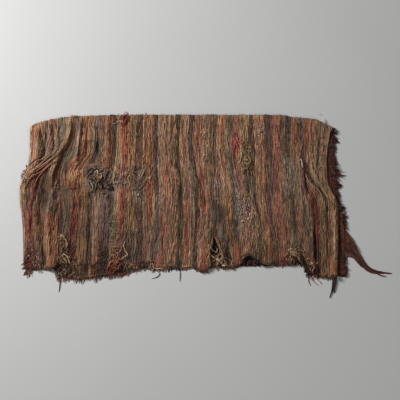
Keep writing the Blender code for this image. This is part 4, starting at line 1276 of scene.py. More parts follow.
# Snarls, by the place where they lie, of one wool each: rib and row of the middle, half width in ribs, half
# length in rows, count of yarns, their length in rows, how far they may turn from the warp in radians,
# thickness, highest lift in mm, and wool, or none for the cloth's own.
SNARLS = {
    "grey swirl": [
        (76, 64, 8, 9, 60, 6, 1.4, 1.6, 4, "grey"), (78, 62, 6, 7, 30, 4, 1.8, 1.4, 6, "pink cream"),
        (79, 66, 8, 9, 60, 5, 1.4, 1.5, 4, "dark brown"), (80, 66, 14, 12, 90, 5, 1.4, 1.6, 5, None),
    ],
    "puckered middle": [
        (118, 62, 20, 12, 110, 6, 0.9, 1.5, 4, None), (98, 66, 8, 7, 30, 5, 1.6, 1.5, 4, "pale grey"),
        (124, 60, 8, 6, 16, 4, 1.6, 1.4, 3, "pink cream"),
    ],
    "worn ochre": [
        (226, 46, 4.5, 14, 80, 6, 1.3, 1.6, 5, "straw"), (225, 40, 4, 12, 30, 4, 1.6, 1.6, 5, "cream"),
        (227, 53, 4, 10, 20, 3, 1.6, 1.5, 4, "dark brown"),
    ],
    "red diamond": [
        (216.5, 30, 3.2, 6, 20, 6, 0.7, 1.3, 4, "bright red"),
    ],
    "white speckle": [
        (225, 96, 8, 15, 100, 1.3, 3.1, 1.2, 3, "white"),
        (223, 94, 6, 14, 50, 3, 1.4, 1.4, 2.5, "lavender"),
        (226, 92, 8, 15, 60, 2.4, 2.2, 1.3, 2, "dark olive"),
        (222, 90, 8, 14, 40, 4, 1.4, 1.3, 2.5, "pale grey"),
    ],
    "cream speckle": [
        (96, 113, 4, 12, 46, 1.6, 3.1, 1.3, 3, "straw"),
        (95, 113, 5, 12, 34, 2.4, 2.2, 1.4, 2, "dark olive"),
    ],
    "knots of the far right": [
        (240, 17, 3, 6, 26, 1.6, 3.1, 1.3, 4, "white"), (240, 18, 3, 6, 16, 2.2, 1.4, 1.4, 4, "orange"),
    ],
    "knots and flecks": [
        (71, 24, 2.4, 5, 7, 2.4, 3.1, 1.4, 4, "cream"), (184, 22, 3, 18, 40, 1.6, 3.1, 1.4, 3, "cream"),
        (114, 22, 3, 3, 6, 2, 3.1, 1.5, 4, "cream"),
    ],
    "red fray": [
        (10.5, 144, 3.4, 11, 60, 7, 0.8, 1.7, 5, "crimson"),
        (10, 140, 3.4, 10, 10, 6, 0.9, 1.4, 6, "cream"),
        (10, 145, 3.5, 8, 26, 3, 0.8, 1.7, 4, "dark brown"), (9, 157, 3.4, 4, 34, 4, 0.6, 1.5, 2, "maroon"),
    ],
    "cream foot": [
        (18, 147, 4, 6, 26, 5, 0.8, 1.5, 5, "cream"),
    ],
    "pale and dark tangles": [
        (43.5, 123, 2, 3, 16, 3, 1.4, 1.8, 6, "pink cream"),
        (44.5, 134, 2.6, 7, 40, 4, 1.6, 1.7, 6, "brown"), (45, 143, 4, 6, 30, 4, 2, 1.6, 6, "olive tan"),
        (42.5, 154, 4.5, 7, 90, 4, 1.4, 1.9, 7, "dark brown"),
        (44, 152, 4, 6, 30, 4, 1.6, 1.7, 8, "maroon"), (45, 154, 5, 7, 24, 4, 1.8, 1.5, 9, "cream"),
    ],
    "salmon mass": [
        (11, 56, 4.5, 5, 40, 5, 0.9, 1.7, 5, "salmon"), (11, 55, 4.5, 5, 16, 5, 0.9, 1.5, 6, "cream"),
    ],
    "red in the dark tangle": [
        (52, 138, 3, 8, 20, 5, 1.2, 1.5, 4, "maroon"),
    ],
    "red tangle": [
        (95, 148, 5.5, 7, 34, 6, 1.3, 1.6, 6, "coral"), (98, 149, 6, 7, 30, 5, 1.4, 1.7, 6, "maroon"),
        (97, 142, 6, 8, 40, 6, 1.6, 1.5, 6, "crimson"), (97, 142, 6, 8, 22, 5, 1.8, 1.4, 7, "cream"),
        (97, 143, 4, 5, 18, 4, 1.6, 1.5, 6, "orange"),
    ],
    "top of the clump": [
        (288, 147, 4, 3, 16, 4, 1.4, 1.5, 7, "straw"),
    ],
    "strands across the tear": [
        (197, 143, 4, 9, 36, 6, 0.8, 1.4, 6, "rust brown"), (199, 146, 5, 6, 16, 6, 1.2, 1.2, 8, "straw"),
    ],
    "dark end": [
        (84, 146, 4, 9, 60, 4, 1.4, 1.5, 4, "dark olive"),
        (84, 143, 3.5, 8, 34, 3, 1.6, 1.4, 4, "dark brown"),
    ],
    "tufts by the notch": [
        (112, 151, 5, 3.4, 30, 4, 0.7, 1.6, 5, "cream"), (116, 151, 7, 3.4, 44, 4, 0.9, 1.6, 5, "crimson"),
        (118, 152, 4, 3, 24, 3, 1.6, 1.5, 5, "pink cream"),
        (126, 150, 4, 4, 40, 4, 1, 1.6, 3, "dark olive"), (132, 151, 3, 3, 20, 4, 1, 1.5, 5, "cream"),
    ],
    "tufts of the hem": [
        (152, 153, 7, 2, 30, 3, 1.3, 1.5, 3, "dark brown"),
        (151, 151, 8, 2.4, 26, 3, 1.3, 1.5, 4, "pink cream"),
    ],
    "sides of the tear": [
        (199, 149, 5, 4, 34, 6, 1.9, 1.6, 8, "straw"), (194, 149, 3, 3, 16, 5, 1.4, 1.6, 6, "rust brown"),
        (202, 137, 2.4, 9, 26, 6, 0.6, 1.3, 7, "tan"), (205, 143, 3, 8, 50, 8, 0.4, 1.8, 6, "black brown"),
        (188.5, 138, 1.2, 9, 16, 8, 0.3, 1.6, 5, "straw"),
    ],
    "arch": [
        (230, 147, 5, 2.4, 40, 4, 0.8, 1.5, 3, "maroon"),
    ],
    "cream and ochre tangle": [
        (274, 138, 5, 3, 34, 5, 1.6, 1.6, 8, "cream"), (273, 139, 6, 4, 46, 5, 1.6, 1.6, 7, "orange"),
        (272, 146, 8, 3, 60, 4, 1.4, 1.7, 8, "crimson"),
        (274, 145, 7, 3.4, 56, 4, 1.6, 1.9, 7, "black brown"),
        (273, 146, 8, 3, 22, 5, 1.6, 1.5, 9, "pink cream"),
    ],
    # Painted shadow: black yarns along the frayed clump's left side, where its shadow falls.
    "dark diagonal from top to foot": [
        (282.5, 146, 1.4, 3, 40, 4, 0.5, 2, 8, "black brown"),
        (285.5, 152, 1.6, 3, 46, 4, 0.5, 2, 8, "black brown"),
        (288.5, 158, 1.6, 3, 40, 4, 0.5, 2, 8, "black brown"),
    ],
    "frayed clump": [
        (292, 151, 3, 4, 30, 5, 2, 1.6, 8, "pink cream"), (292, 155, 3, 4, 40, 4, 1.4, 1.7, 8, "maroon"),
        (292, 156, 3, 5, 30, 4, 1.2, 1.7, 7, "dark brown"),
    ],
    "tufts at the fold": [
        (104, 4, 2.6, 5, 40, 4, 0.7, 1.6, 6, "crimson"), (100, 6, 4, 5, 24, 3, 1.2, 1.5, 5, "cream"),
        (52, 1, 1.6, 1.6, 10, 2, 1.6, 1.4, 6, "white"),
    ],
    "tuft and knot on the left": [
        (3.5, 63, 1.8, 4, 30, 3, 1.6, 1.7, 5, "pale grey"),
        (3.5, 66, 1, 2, 14, 2, 1.6, 1.6, 5, "dark brown"), (37, 73, 1.8, 2, 16, 2.4, 3.1, 1.6, 4, "cream"),
        (38, 72, 3, 2, 16, 2.4, 1.6, 1.6, 2, "dark brown"),
    ],
    "fuzz of the fold and knot crest": [
        (122, 0.6, 18, 1.2, 26, 2.2, 3.1, 1.1, 4, "pale orange"),
        (120, 60, 3, 4, 16, 4, 1.6, 1.5, 5, "cream"),
    ],
    "flecks on the right": [
        (300, 40, 8, 26, 40, 2, 2.4, 1.3, 3, "cream"), (268, 40, 8, 24, 40, 3, 1.6, 1.3, 2, "pale grey"),
    ],
}


def snarl_yarns(stops, seed):
    """All the snarls' yarns: each starts in its snarl's ellipse and turns evenly, with a small wave."""
    chance = np.random.default_rng(seed)
    share = np.linspace(0, 1, stops)
    made = []
    for snarl in sum(SNARLS.values(), []):
        rib, row, half_width, half_length, count, length, turn, thickness, lift, wool = snarl
        start = chance.normal(0, 0.55, (2, count, 1))
        heading = math.pi / 2 + chance.uniform(-turn, turn, (count, 1))
        bend = chance.uniform(-turn, turn, (count, 1))
        step = length * chance.uniform(0.5, 1.4, (count, 1)) / stops
        angle = heading + bend * share + 0.35 * np.sin(chance.uniform(0, 6, (count, 1)) + 9 * share)
        across = rib + start[0] * half_width + np.cumsum(step * np.cos(angle), axis=1)
        down = row + start[1] * half_length + np.cumsum(step * np.sin(angle), axis=1) - length / 2
        radius = tapered(share, thickness * chance.uniform(0.6, 1.2, (count, 1)))
        hump = chance.uniform(0, lift / 1000, (count, 1)) * np.sin(math.pi * share)
        paths = lay(across, down, hump + 0.5 * radius)
        patch = patch_of(across, down)
        if wool is not None:
            patch[..., :3] = wool_colour(wool)
            patch[..., 3] = chance.uniform(0.7, 1.0, (count, 1))
        base = warp_at(across, down)[:, :1] + 0 * down
        tone = chance.uniform(-0.25, 0.3, (count, 1)) + 0.5 * soil_and_shading(across, down)
        run = down * ROW + chance.uniform(0, 9, (count, 1))
        made.append((paths, radius, 0.9 * radius, base, run, tone, patch))
    return [np.concatenate(values) for values in zip(*made)]


slack = make_yarns("slack_yarns", *slack_yarns(2200, 9, 51), striped_wool, UP, 3)
snarls = make_yarns("snarled_yarns", *snarl_yarns(9, 52), striped_wool)

# Single loose threads.
# Longer broken yarns that lie across the face or hang over its edges, each along its own route.

THREAD_STOPS = 26
THREAD_GAIN = 1.25  # times the thickness in the table, for soft fuzzy wool
THREAD_TONE = 0.02
# Wool, thickness, highest lift in mm, and the route as (rib, row).
THREADS = {
    "long diagonal": ("cream", 1.4, 8, [(38, 34), (31, 40), (24, 46), (15, 55), (8, 62), (3, 68)]),
    "short diagonal": ("cream", 1.3, 9, [(34, 35), (27, 41), (20, 46), (14, 51)]),
    "second diagonal": ("salmon", 2.2, 5, [(41, 36), (34, 43), (25, 49), (16, 55), (8, 60), (3, 70)]),
    "third diagonal": ("salmon", 2, 5, [(36, 42), (29, 46), (21, 52), (12, 58), (5, 66)]),
    "fourth diagonal": ("salmon", 1.7, 7, [(30, 40), (22, 45), (14, 49), (9, 55), (7, 63)]),
    "fifth diagonal": ("orange", 2, 4, [(38, 46), (30, 51), (22, 58), (17, 65), (14, 74)]),
    "sixth diagonal": ("rust brown", 2.2, 4, [(33, 47), (26, 53), (19, 59), (11, 64), (5, 74)]),
    "seventh diagonal": ("rust brown", 2, 5, [(41, 40), (37, 48), (34, 55), (32, 62), (32, 72)]),
    "eighth diagonal": ("rose", 1.9, 4, [(36, 39), (28, 48), (18, 56), (10, 60), (8, 66)]),
    "left loop": ("olive cream", 1.8, 6, [(20, 42), (12, 47), (6, 54), (4, 61), (8, 65), (15, 62)]),
    "outer grey arch": ("purple grey", 2, 4, [(63.6, 62), (63, 57), (65, 52), (70, 49.6), (75.5, 50.6)]),
    "second grey arch": ("grey", 2, 5, [(64.6, 61.6), (64.2, 57), (66.2, 52.8), (70.6, 50.8), (75.8, 52)]),
    "third grey arch": ("lilac", 2, 5, [(65.7, 61.2), (65.5, 57), (67.3, 53.8), (71, 52), (75.6, 53.4)]),
    "inner grey arch": ("purple grey", 2, 4, [(66.8, 60.8), (66.9, 57), (68.4, 54.9), (71.4, 53.3),
        (75, 54.6)]),
    # Painted shade: the thick black thread inside the grey arch.
    "black under the arch": ("black brown", 2.8, 5, [(68, 62), (68.6, 58), (70, 56.4), (73, 55.6),
        (76, 56.6)]),
    "grey foot": ("purple grey", 2.6, 8, [(66, 63), (69, 60), (72, 57), (76, 54)]),
    "first pale lump": ("cream", 2.4, 8, [(74, 59), (77, 57), (78, 60), (76, 62)]),
    "second pale lump": ("pink cream", 2.4, 8, [(78, 59), (81, 60), (81, 64), (78, 66)]),
    "brown lump": ("rust brown", 2.6, 8, [(75, 63), (78, 64), (79, 67), (76, 68)]),
    "right grey fan": ("grey", 2.2, 5, [(84, 66), (86, 59), (88, 56)]),
    "second grey fan": ("pale grey", 1.8, 5, [(87, 67), (90, 62), (90, 58)]),
    "third grey fan": ("lavender", 1.7, 5, [(83, 62), (85, 57), (89, 55)]),
    "lower grey rope": ("grey green", 2.6, 6, [(68, 66), (71, 69), (73, 74), (70, 78)]),
    "second lower rope": ("grey", 2.4, 6, [(74, 68), (76, 72), (74, 76)]),
    # Painted shade: dark threads laid in the gaps of the swirl.
    "second dark gap": ("black brown", 2.8, 4, [(80, 66), (81.6, 70), (82.6, 74)]),
    "third dark gap": ("dark brown", 2.2, 3, [(70, 64), (72, 66), (75, 66)]),
    "fourth dark gap": ("black brown", 3, 4, [(87, 70), (90, 71), (92, 74), (89, 76)]),
    "swirl cream loop": ("cream", 1.5, 8, [(93, 57), (94.4, 62), (93, 66), (95, 70)]),
    "knot thread": ("cream", 1.7, 5, [(120, 60), (122, 56), (124, 55), (121, 62), (117, 66)]),
    "pale knot": ("cream", 1.3, 4, [(128, 62), (130, 64), (131, 62), (129, 66), (130, 69)]),
    "white knot": ("white", 1.6, 4, [(117, 80), (118, 81), (119, 80), (117.6, 79.4)]),
    "second white knot": ("white", 1.4, 4, [(222, 106), (222.8, 107), (221.4, 107.6), (222, 106)]),
    "white dash": ("cream", 1.2, 1, [(194, 85), (197, 84.6), (200, 85)]),
    "first slit thread": ("pink cream", 1.2, 4, [(282, 27), (282.6, 30), (281.6, 33), (282.4, 36)]),
    "second slit thread": ("white", 1.9, 5, [(280.6, 45), (282, 48), (282.4, 51), (283, 54)]),
    # Along the crest the two pale threads are loose yarn that also paints the crest's lit edge, and the thick
    # maroon one paints the shadow beside it.
    "crest thread": ("pink cream", 1.3, 3, [(285, 56), (287, 64), (291, 71), (297, 75), (301, 80),
        (303, 87)]),
    "second crest thread": ("pale orange", 1.4, 3, [(286, 66), (290, 73), (294, 79), (296, 84)]),
    "crest dark": ("maroon", 2.8, 1, [(283.6, 54), (284, 62), (285, 70), (286, 76), (289, 79)]),
    "first diamond strand": ("pink cream", 1.5, 4, [(213, 23), (216, 29), (219, 35), (221, 40)]),
    "second diamond strand": ("rose", 1.5, 4, [(219, 22), (216, 28), (214, 35), (213, 40)]),
    "third diamond strand": ("pink cream", 1.4, 4, [(216, 20), (218, 27), (221, 33), (220, 42), (217, 46)]),
    "diamond edge": ("cream", 1.7, 3, [(221, 30), (222, 37), (221, 44), (219, 50)]),
    "zigzag thread": ("cream", 1.5, 7, [(105, 127), (104, 132), (106, 137), (108, 140), (104, 143),
        (100, 146), (98, 144)]),
    "short zigzag": ("pale orange", 1.3, 6, [(103, 131), (100, 138), (97, 141)]),
    "hem cord": ("cream", 2, 3, [(133, 151), (136, 153.5), (141, 153.6), (147, 153.6), (152, 151)]),
    "second hem cord": ("cream", 1.8, 3, [(163, 152), (167, 151.4), (172, 151.4), (174, 152.6)]),
    "tear arc": ("cream", 1.7, 9, [(190, 131), (192, 135), (197, 137), (197, 133)]),
    "lower tear arc": ("cream", 1.7, 9, [(188, 138), (193, 142), (199, 146), (204, 150)]),
    "left tear side": ("straw", 1.5, 7, [(193, 122), (191, 130), (189, 139), (190, 148), (194, 153)]),
    "right tear side": ("tan", 1.8, 7, [(194, 121), (198, 129), (202, 138), (204, 147), (204, 153)]),
    "second right tear side": ("pale orange", 1.7, 7, [(195, 122), (199, 128), (200, 137), (198, 143),
        (202, 149)]),
    "tear loop": ("straw", 1.4, 8, [(196, 150), (200, 145), (205, 148), (204, 153), (198, 152)]),
    "tear curl": ("cream", 1.4, 8, [(199, 138), (202, 141), (200, 145), (197, 143), (200, 140)]),
    "tear white lump": ("white", 2.6, 3, [(202, 150.6), (204, 151), (206, 150.8)]),
    "pale tangle top": ("pink cream", 2.4, 6, [(41, 119.5), (43, 121), (45, 124), (47, 128),
        (46, 131)]),
    "pale tangle side": ("cream", 1.8, 6, [(45, 123), (47.4, 127), (47.6, 131), (45, 134)]),
    "brown bend": ("brown", 2.4, 6, [(45, 131), (42.5, 134), (42, 137), (44, 139)]),
    "white bend": ("cream", 1.5, 7, [(42.6, 136), (43.6, 139), (46.5, 141), (51, 143)]),
    "lower white bend": ("cream", 1.9, 7, [(47, 141), (49, 144.5), (50.5, 148.5), (54, 152)]),
    "ledge thread": ("cream", 1.2, 2, [(51, 149.4), (56, 149), (61, 149.3)]),
    "straw strand": ("straw", 1.8, 7, [(43, 139), (44, 143), (47, 147), (48, 152), (51, 157)]),
    "tan strand": ("tan", 1.9, 7, [(47, 146), (44.5, 151), (46.5, 155), (43.5, 160)]),
    "low pale strand": ("cream", 1.6, 7, [(41, 151), (39.5, 155), (42, 158), (41, 162)]),
    "last pale strand": ("olive cream", 1.6, 6, [(50, 156), (54, 157.6), (51, 160), (48, 163)]),
    "low curl": ("dark brown", 1.6, 1, [(40, 160), (41, 166), (40.5, 171), (40, 176)]),
    "middle curl": ("dark brown", 1.2, 1, [(134, 154), (138, 156), (140, 158), (138, 161), (132, 163)]),
    "short end": ("dark brown", 1.2, 1, [(160, 153), (160.4, 158), (160, 166)]),
    "left long end": ("dark brown", 2.4, 1, [(312.4, 160), (312, 167), (311.4, 173), (308.8, 182)]),
    "right long end": ("dark brown", 2.6, 1, [(315.6, 160), (315, 167), (313.8, 172), (313.4, 177)]),
    "third long end": ("dark brown", 2, 1, [(314.4, 160), (313.6, 166), (312.6, 172), (311.8, 177)]),
    # Painted shadow: thick black threads along the frayed clump's left side.
    "clump first dark": ("black brown", 2.9, 9, [(281, 143), (283, 149), (286, 155), (289, 161)]),
    "clump second dark": ("black brown", 2.7, 9, [(283, 144), (285, 150), (288, 156), (290.5, 162)]),
    "clump third dark": ("dark brown", 2, 6, [(287, 149), (289, 154), (291, 159), (292, 164)]),
    "clump cap": ("straw", 1.9, 8, [(284, 146), (287, 144.4), (291, 145)]),
    "clump second cap": ("cream", 1.5, 9, [(289, 149), (292, 149), (295, 153)]),
    "clump first pale": ("pink cream", 1.8, 9, [(290, 147), (294, 151), (292, 157), (295, 162)]),
    "clump second pale": ("cream", 1.7, 9, [(287, 151), (290, 155), (289, 160), (293, 165)]),
    "clump red": ("crimson", 2.2, 8, [(292, 149), (295, 154), (294, 160), (292, 164)]),
    "white end": ("white", 1.6, 4, [(290, 159), (293, 162), (297, 165), (301, 169)]),
    "second white end": ("pale grey", 1.4, 3, [(289, 162), (292, 165), (298, 170)]),
    "cream end": ("pale grey", 1.5, 1, [(295, 161), (297, 164), (301, 168)]),
    "second cream end": ("lavender", 1.5, 1, [(288, 160), (288, 166), (290, 170)]),
    "low fold fuzz": ("cream", 1.3, 5, [(50, -0.5), (52, 1), (54, 0), (53, 3)]),
    "second fold fuzz": ("pale orange", 1.3, 5, [(123, -0.6), (125, 0.6), (127, -0.4), (126, 3)]),
    "red fold fuzz": ("crimson", 2, 7, [(104, -1.6), (106, 0), (103, 3), (105, 8)]),
    "second red fold fuzz": ("red", 2, 6, [(107, -0.6), (107, 3), (105, 7), (104, 12)]),
    "arch rim": ("straw", 1.2, 2, [(221, 141), (226, 139), (232, 139.6), (236, 143)]),
    # Painted shade: thick black threads round the arch of the hem, where the hollow under its lifted edge is
    # dark.
    "dark arch rim": ("black brown", 3.8, 7, [(222, 147), (225, 143), (229, 141.6), (233, 143),
        (238, 147.4), (246, 151)]),
    "second dark arch rim": ("black brown", 3.2, 6, [(236, 146), (241, 149), (246, 150.4), (251, 150)]),
    "lock second tip": ("maroon", 2, 1, [(348, 154), (354, 157), (360, 160), (365, 161)]),
    "first pale bend": ("cream", 2, 8, [(268, 135), (271, 137), (275, 139.5), (280, 141.5)]),
    "second pale bend": ("pale orange", 2.4, 8, [(270, 138), (274, 141), (278, 143), (280, 146)]),
    "third pale bend": ("cream", 1.6, 9, [(268, 141), (271, 145), (269, 149)]),
    "fourth pale bend": ("pink cream", 1.6, 9, [(276, 142), (279, 146), (283, 149)]),
    "speckle loop": ("cream", 1.2, 4, [(221, 76), (222, 78), (222, 82), (221, 84)]),
}


def measured(route):
    """Length along a route up to each of its points."""
    return np.concatenate([[0.0], np.cumsum(np.linalg.norm(np.diff(route, axis=0), axis=1))])


def loose_threads():
    """All the threads: each is a smooth curve through its route, evenly stepped, with a small hump in it."""
    made = []
    share = np.linspace(0, 1, THREAD_STOPS)
    chance = np.random.default_rng(71)
    for wool, thickness, lift, route in THREADS.values():
        route = np.array(route, float)
        level = measured(route)
        rib, row = (curve(level, route[:, axis], share * level[-1])[None] for axis in (0, 1))
        radius = tapered(share, THREAD_GAIN * thickness)[None]
        hump = lift / 1000 * (0.25 + np.abs(np.sin(math.pi * share * 2 + chance.uniform(0, 3)))) * 0.6
        inside = ease((along(FRONT_HEM, rib) - row) / 3)
        paths = lay(rib, row, radius + inside * hump * np.sin(math.pi * share) ** 0.4)
        patch = np.concatenate([wool_colour(wool), [1.0]]) + 0 * rib[..., None]
        base = warp_at(rib, row)[:, :1] + 0 * row
        run = row * ROW + chance.uniform(0, 9)
        made.append((paths, radius, radius, base, run, THREAD_TONE + 0 * row, patch))
    return [np.concatenate(values) for values in zip(*made)]


threads = make_yarns("loose_threads", *loose_threads(), striped_wool, UP, 5)

# The frayed ends.
# Warp that has lost its last picks of weft, at the upper layer's hem and at the under layer's, where it
# reaches further out. The ends clump into short locks of the stripes' wools, and lie on what is below them.

FRAYED_STOPS = 10
FRAYED_RADIUS = 0.0018
LOCK_RIBS = 3.3
HEM_PITCH = 0.62  # ribs from one end to the next
HEM_INSET = (0.4, 3.2)  # rows by which the ends start inside the hem
HEM_REACH = (1.6, 5.8)  # rows from the shortest lock to the longest
frayed_wool = spun_wool("frayed wool")


def strides(length):
    """Steps from stop to stop of a loose end of a given length, with none before its root."""
    return length / (FRAYED_STOPS - 1) * np.minimum(np.arange(FRAYED_STOPS), 1)


def frayed_ends(base, rib, root, reach, seed, under=False):
    """Yarns from roots on an end of the cloth: each lock has its own lean and reach, and draws together."""
    chance = np.random.default_rng(seed)
    lock = np.floor(rib / LOCK_RIBS + 0.3 * swell(rib / 5, 0 * rib, seed)).astype(int)
    lock = lock - int(rib.min() / LOCK_RIBS) + 2
    traits = chance.uniform(0, 1, (4, lock.max() + 2))[:, lock]
    share = np.linspace(0, 1, FRAYED_STOPS)
    length = (reach[0] + (reach[1] - reach[0]) * traits[0] ** 2) * chance.uniform(0.5, 1.15, rib.shape)
    lean = math.pi / 2 + 1.1 * (traits[1] - 0.5) + chance.normal(0, 0.22, rib.shape)
    bend = 2.2 * (traits[2] - 0.5) + chance.normal(0, 0.5, rib.shape)
    angle = lean + bend * share + 0.3 * np.sin(6 * chance.uniform(0, 1, rib.shape) + 7 * share)
    step = strides(length)
    members = [rib[lock == index] for index in range(lock.max() + 1)]
    middle = np.array([ribs.mean() if ribs.size else 0.0 for ribs in members])
    draw = 0.55 * ease(share) * (middle[lock] - rib)
    across = rib + np.cumsum(step * np.cos(angle), axis=1) + draw
    down = root + np.cumsum(step * np.sin(angle), axis=1)
    radius = FRAYED_RADIUS * chance.uniform(0.6, 1.15, rib.shape) * (1.0 - 0.72 * share**1.5)
    radius[:, -1] *= 0.5
    hump = chance.uniform(0, 0.0035, rib.shape) * np.sin(math.pi * share) * traits[3]
    paths = lay(across, down, radius + hump, under)
    tone = chance.uniform(-0.3, 0.25, rib.shape) + 0.8 * soil_and_shading(across, down)
    run = down * ROW + chance.uniform(0, 9, rib.shape)
    return paths, radius, 0.9 * radius, base + 0 * share, run, tone, patch_of(across, down)


def hem_ends(name, first, last, seed):
    """The frayed ends of one stretch of the hem, between two warp places."""
    base = np.arange(first + 0.4, last - 0.3, HEM_PITCH)[:, None]
    rib = rib_of(base, LEVELS[-1] + 0 * base)
    inset = np.random.default_rng(seed + 100).uniform(*HEM_INSET, base.shape)
    ends = frayed_ends(base, rib, along(FRONT_HEM, rib) - inset, HEM_REACH, seed)
    piece = make_yarns(name + "_yarns", *ends, frayed_wool)
    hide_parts(name)


TEAR = WARP_LINES["tear"][0]
SLIT = WARP_LINES["slit"][0]
hem_ends("front_fringe_left", LEFT_EDGE, TEAR, 81)
hem_ends("front_fringe_middle", TEAR, SLIT, 82)
hem_ends("front_fringe_right", SLIT, RIGHT_EDGE, 83)

UNDER_PITCH = 0.9
UNDER_ROOT = 143  # row where the under layer's long ends leave the cloth
UNDER_SHIFT = 8  # ribs from a place on the under layer's hem to the warp that shows there
UNDER_REACH = (3.0, 8.0)
rib = np.arange(UNDER_FRAY_RIBS[0] - 2, UNDER_FRAY_RIBS[1] + 2, UNDER_PITCH)[:, None]
share = np.linspace(0, 1, 2 * FRAYED_STOPS)
reach = 1.0 + 5.5 * (0.5 + 0.5 * swell(rib / 3.5, 0 * rib, 91))
down = UNDER_ROOT + (along(BACK_HEM, rib) + reach - UNDER_ROOT) * share
across = rib + 0.9 * swell(rib / 4, down / 6, 92) + 0.5 * swell(rib * 1.7, down / 3, 93)
radius = 0.0024 * (1 - 0.6 * share**3) * (0.85 + 0.35 * swell(rib * 3.3, down / 3, 94))
raised = 0.0022 * (1 - share) + 0.0012 * (1 + swell(rib / 1.8, down / 3, 98)) * (1 - share**4)
paths = lay(across, down, 0.4 * radius + raised, True)
base = rib + UNDER_SHIFT + 0 * share
# The long ends are darker throughout: partly painted shade from the upper layer's hem over them.
tone = 0.45 * swell(rib / 1.9, down / 2.5, 95) - 0.25 + 0.8 * soil_and_shading(across, down)
long_ends = (paths, radius, 0.8 * radius, base, down * ROW, tone, patch_of(across, down))
rib = np.arange(UNDER_FRAY_RIBS[0], UNDER_FRAY_RIBS[1], 0.45)[:, None]
short_ends = frayed_ends(rib + UNDER_SHIFT, rib, along(BACK_HEM, rib) - 2.0, UNDER_REACH, 84, True)
under_lengths = make_yarns("back_fringe_lengths", *long_ends, frayed_wool, UP, 5)
under_ends = make_yarns("back_fringe_yarns", *short_ends, frayed_wool)
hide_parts("back_fringe")

# The dark border of the under layer.
# A band of dark crimson and brown wool along the right-hand edge. Its weft has worn into tufts that stand out
# sideways, and one long lock of its yarns has torn loose and trails over the floor.

BORDER_ROWS = (14.0, 158.0)
SIDE_TUFTS = {"side_fringe_upper": (13, 121, 85), "side_fringe_lower": (142, 160, 86)}
TUFT_PITCH = 0.14
TUFT_ROWS = 3.1  # rows of border in one clump
TUFT_REACH = [
    (12, 6), (20, 10), (28, 8), (34, 4), (42, 4), (49, 8), (58, 10), (66, 9), (71, 6), (75, 2), (86, 2),
    (92, 7), (100, 9), (110, 8), (118, 6), (125, 3), (140, 3), (150, 5), (158, 6),
]
BAND_WOOLS = ("maroon", "dark red", "crimson", "maroon", "dark brown", "rust brown")
TUFT_WOOLS = ("maroon", "black brown", "dark red", "dark brown", "dark olive", "crimson", "rust brown")
TRAILING_ROWS = (106.0, 140.0)
TRAILING_ROUTE = [
    (323, 112), (326, 119), (329.5, 127), (333, 135), (337.5, 143), (343, 150), (350, 155), (360, 157),
    (371, 158),
]
TRAILING_WOOLS = (
    "maroon", "dark brown", "black brown", "rust brown", "dark red", "dark red", "dark olive", "brown",
    "crimson",
)
TRAILING_YARNS = 120
TRAILING_STOPS = 34


def border_wool_material():
    """Dark crimson wool: blotched along each yarn, with dull brown dirt, pale worn flecks, painted shade at
    each yarn's edges and a ply bump.
    """
    wool = Recipe("border wool", 0.95, 0.05)
    warp, run, tone, edge, plies = wool.yarn()
    own = wool.node("ShaderNodeAttribute", {"attribute_name": "patch"}, {})[0]
    streak = wool.uneven(warp * 0.7, run * 40, 0.0, 3.0)
    fleck = wool.uneven(warp * 1.3, run * 130, 5.0)
    value = 0.95 + streak * 1.6 + fleck * 1.3 + tone
    colour = wool.toned(own, value.math("MAXIMUM", 0.15))
    dust = (wool.uneven(warp * 0.6, run * 25, 9.0) * 4.0).held()
    colour = wool.tinted(colour, "brown", dust * 0.55)
    pale = ((wool.noise(wool.vector(warp * 1.6, run * 170, 13.0), 1.0) - 0.62) * 8.0).held()
    colour = wool.tinted(colour, "tan", pale * 0.3)
    # Painted shade at each yarn's edges.
    colour = wool.tinted(colour, "dark brown", edge * 0.5)
    return wool.finish(colour, plies * 0.25 + fleck * 1.2 + streak, 0.001)


def chosen_wools(names, chance, shape):
    """A patch for each yarn, of full strength, its wool picked by chance."""
    colours = np.array([[*wool_colour(name), 1.0] for name in names])
    return colours[chance.integers(0, len(names), shape)]


border_wool = border_wool_material()


def side_tufts(name, first, last, seed):
    """Tufts on the border's edge: yarns in clumps of about three rows, each with its own reach and lean."""
    chance = np.random.default_rng(seed)
    root_row = np.arange(first, last, TUFT_PITCH)[:, None] + chance.uniform(-0.5, 0.5, (1, 1))
    lock = (root_row / TUFT_ROWS).astype(int)
    traits = chance.uniform(0, 1, (3, lock.max() + 1))[:, lock]
    share = np.linspace(0, 1, FRAYED_STOPS)
    root = curve(BACK_LEVELS, BACK_RIGHT, root_row) - chance.uniform(0.5, 5.0, root_row.shape)
    length = along(TUFT_REACH, root_row) * (0.5 + 0.8 * traits[0])
    length = length * chance.uniform(0.5, 1.1, root_row.shape) + 1.0
    angle = 1.7 * (traits[1] - 0.35) + chance.normal(0, 0.3, root_row.shape) + 2.0 * (traits[2] - 0.4) * share
    step = strides(length)
    across = root + np.cumsum(step * np.cos(angle), axis=1)
    down = root_row + np.cumsum(step * np.sin(angle), axis=1)
    radius = 0.0016 * chance.uniform(0.6, 1.2, root_row.shape) * (1 - 0.7 * share**1.5)
    hump = chance.uniform(0, 0.005, root_row.shape) * np.sin(math.pi * share)
    paths = lay(across, down, radius + hump, True)
    wools = chosen_wools(TUFT_WOOLS, chance, root_row.shape) + 0 * share[:, None]
    tone = chance.uniform(-0.2, 0.3, root_row.shape) + 0 * share
    base = 30 + 40 * chance.uniform(0, 1, root_row.shape) + 0 * share
    run = chance.uniform(0, 9, root_row.shape) + share * length * RIB
    piece = make_yarns(name + "_tufts", paths, radius, 0.9 * radius, base, run, tone, wools, border_wool)
    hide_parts(name)


for name, (first, last, seed) in SIDE_TUFTS.items():
    side_tufts(name, first, last, seed)

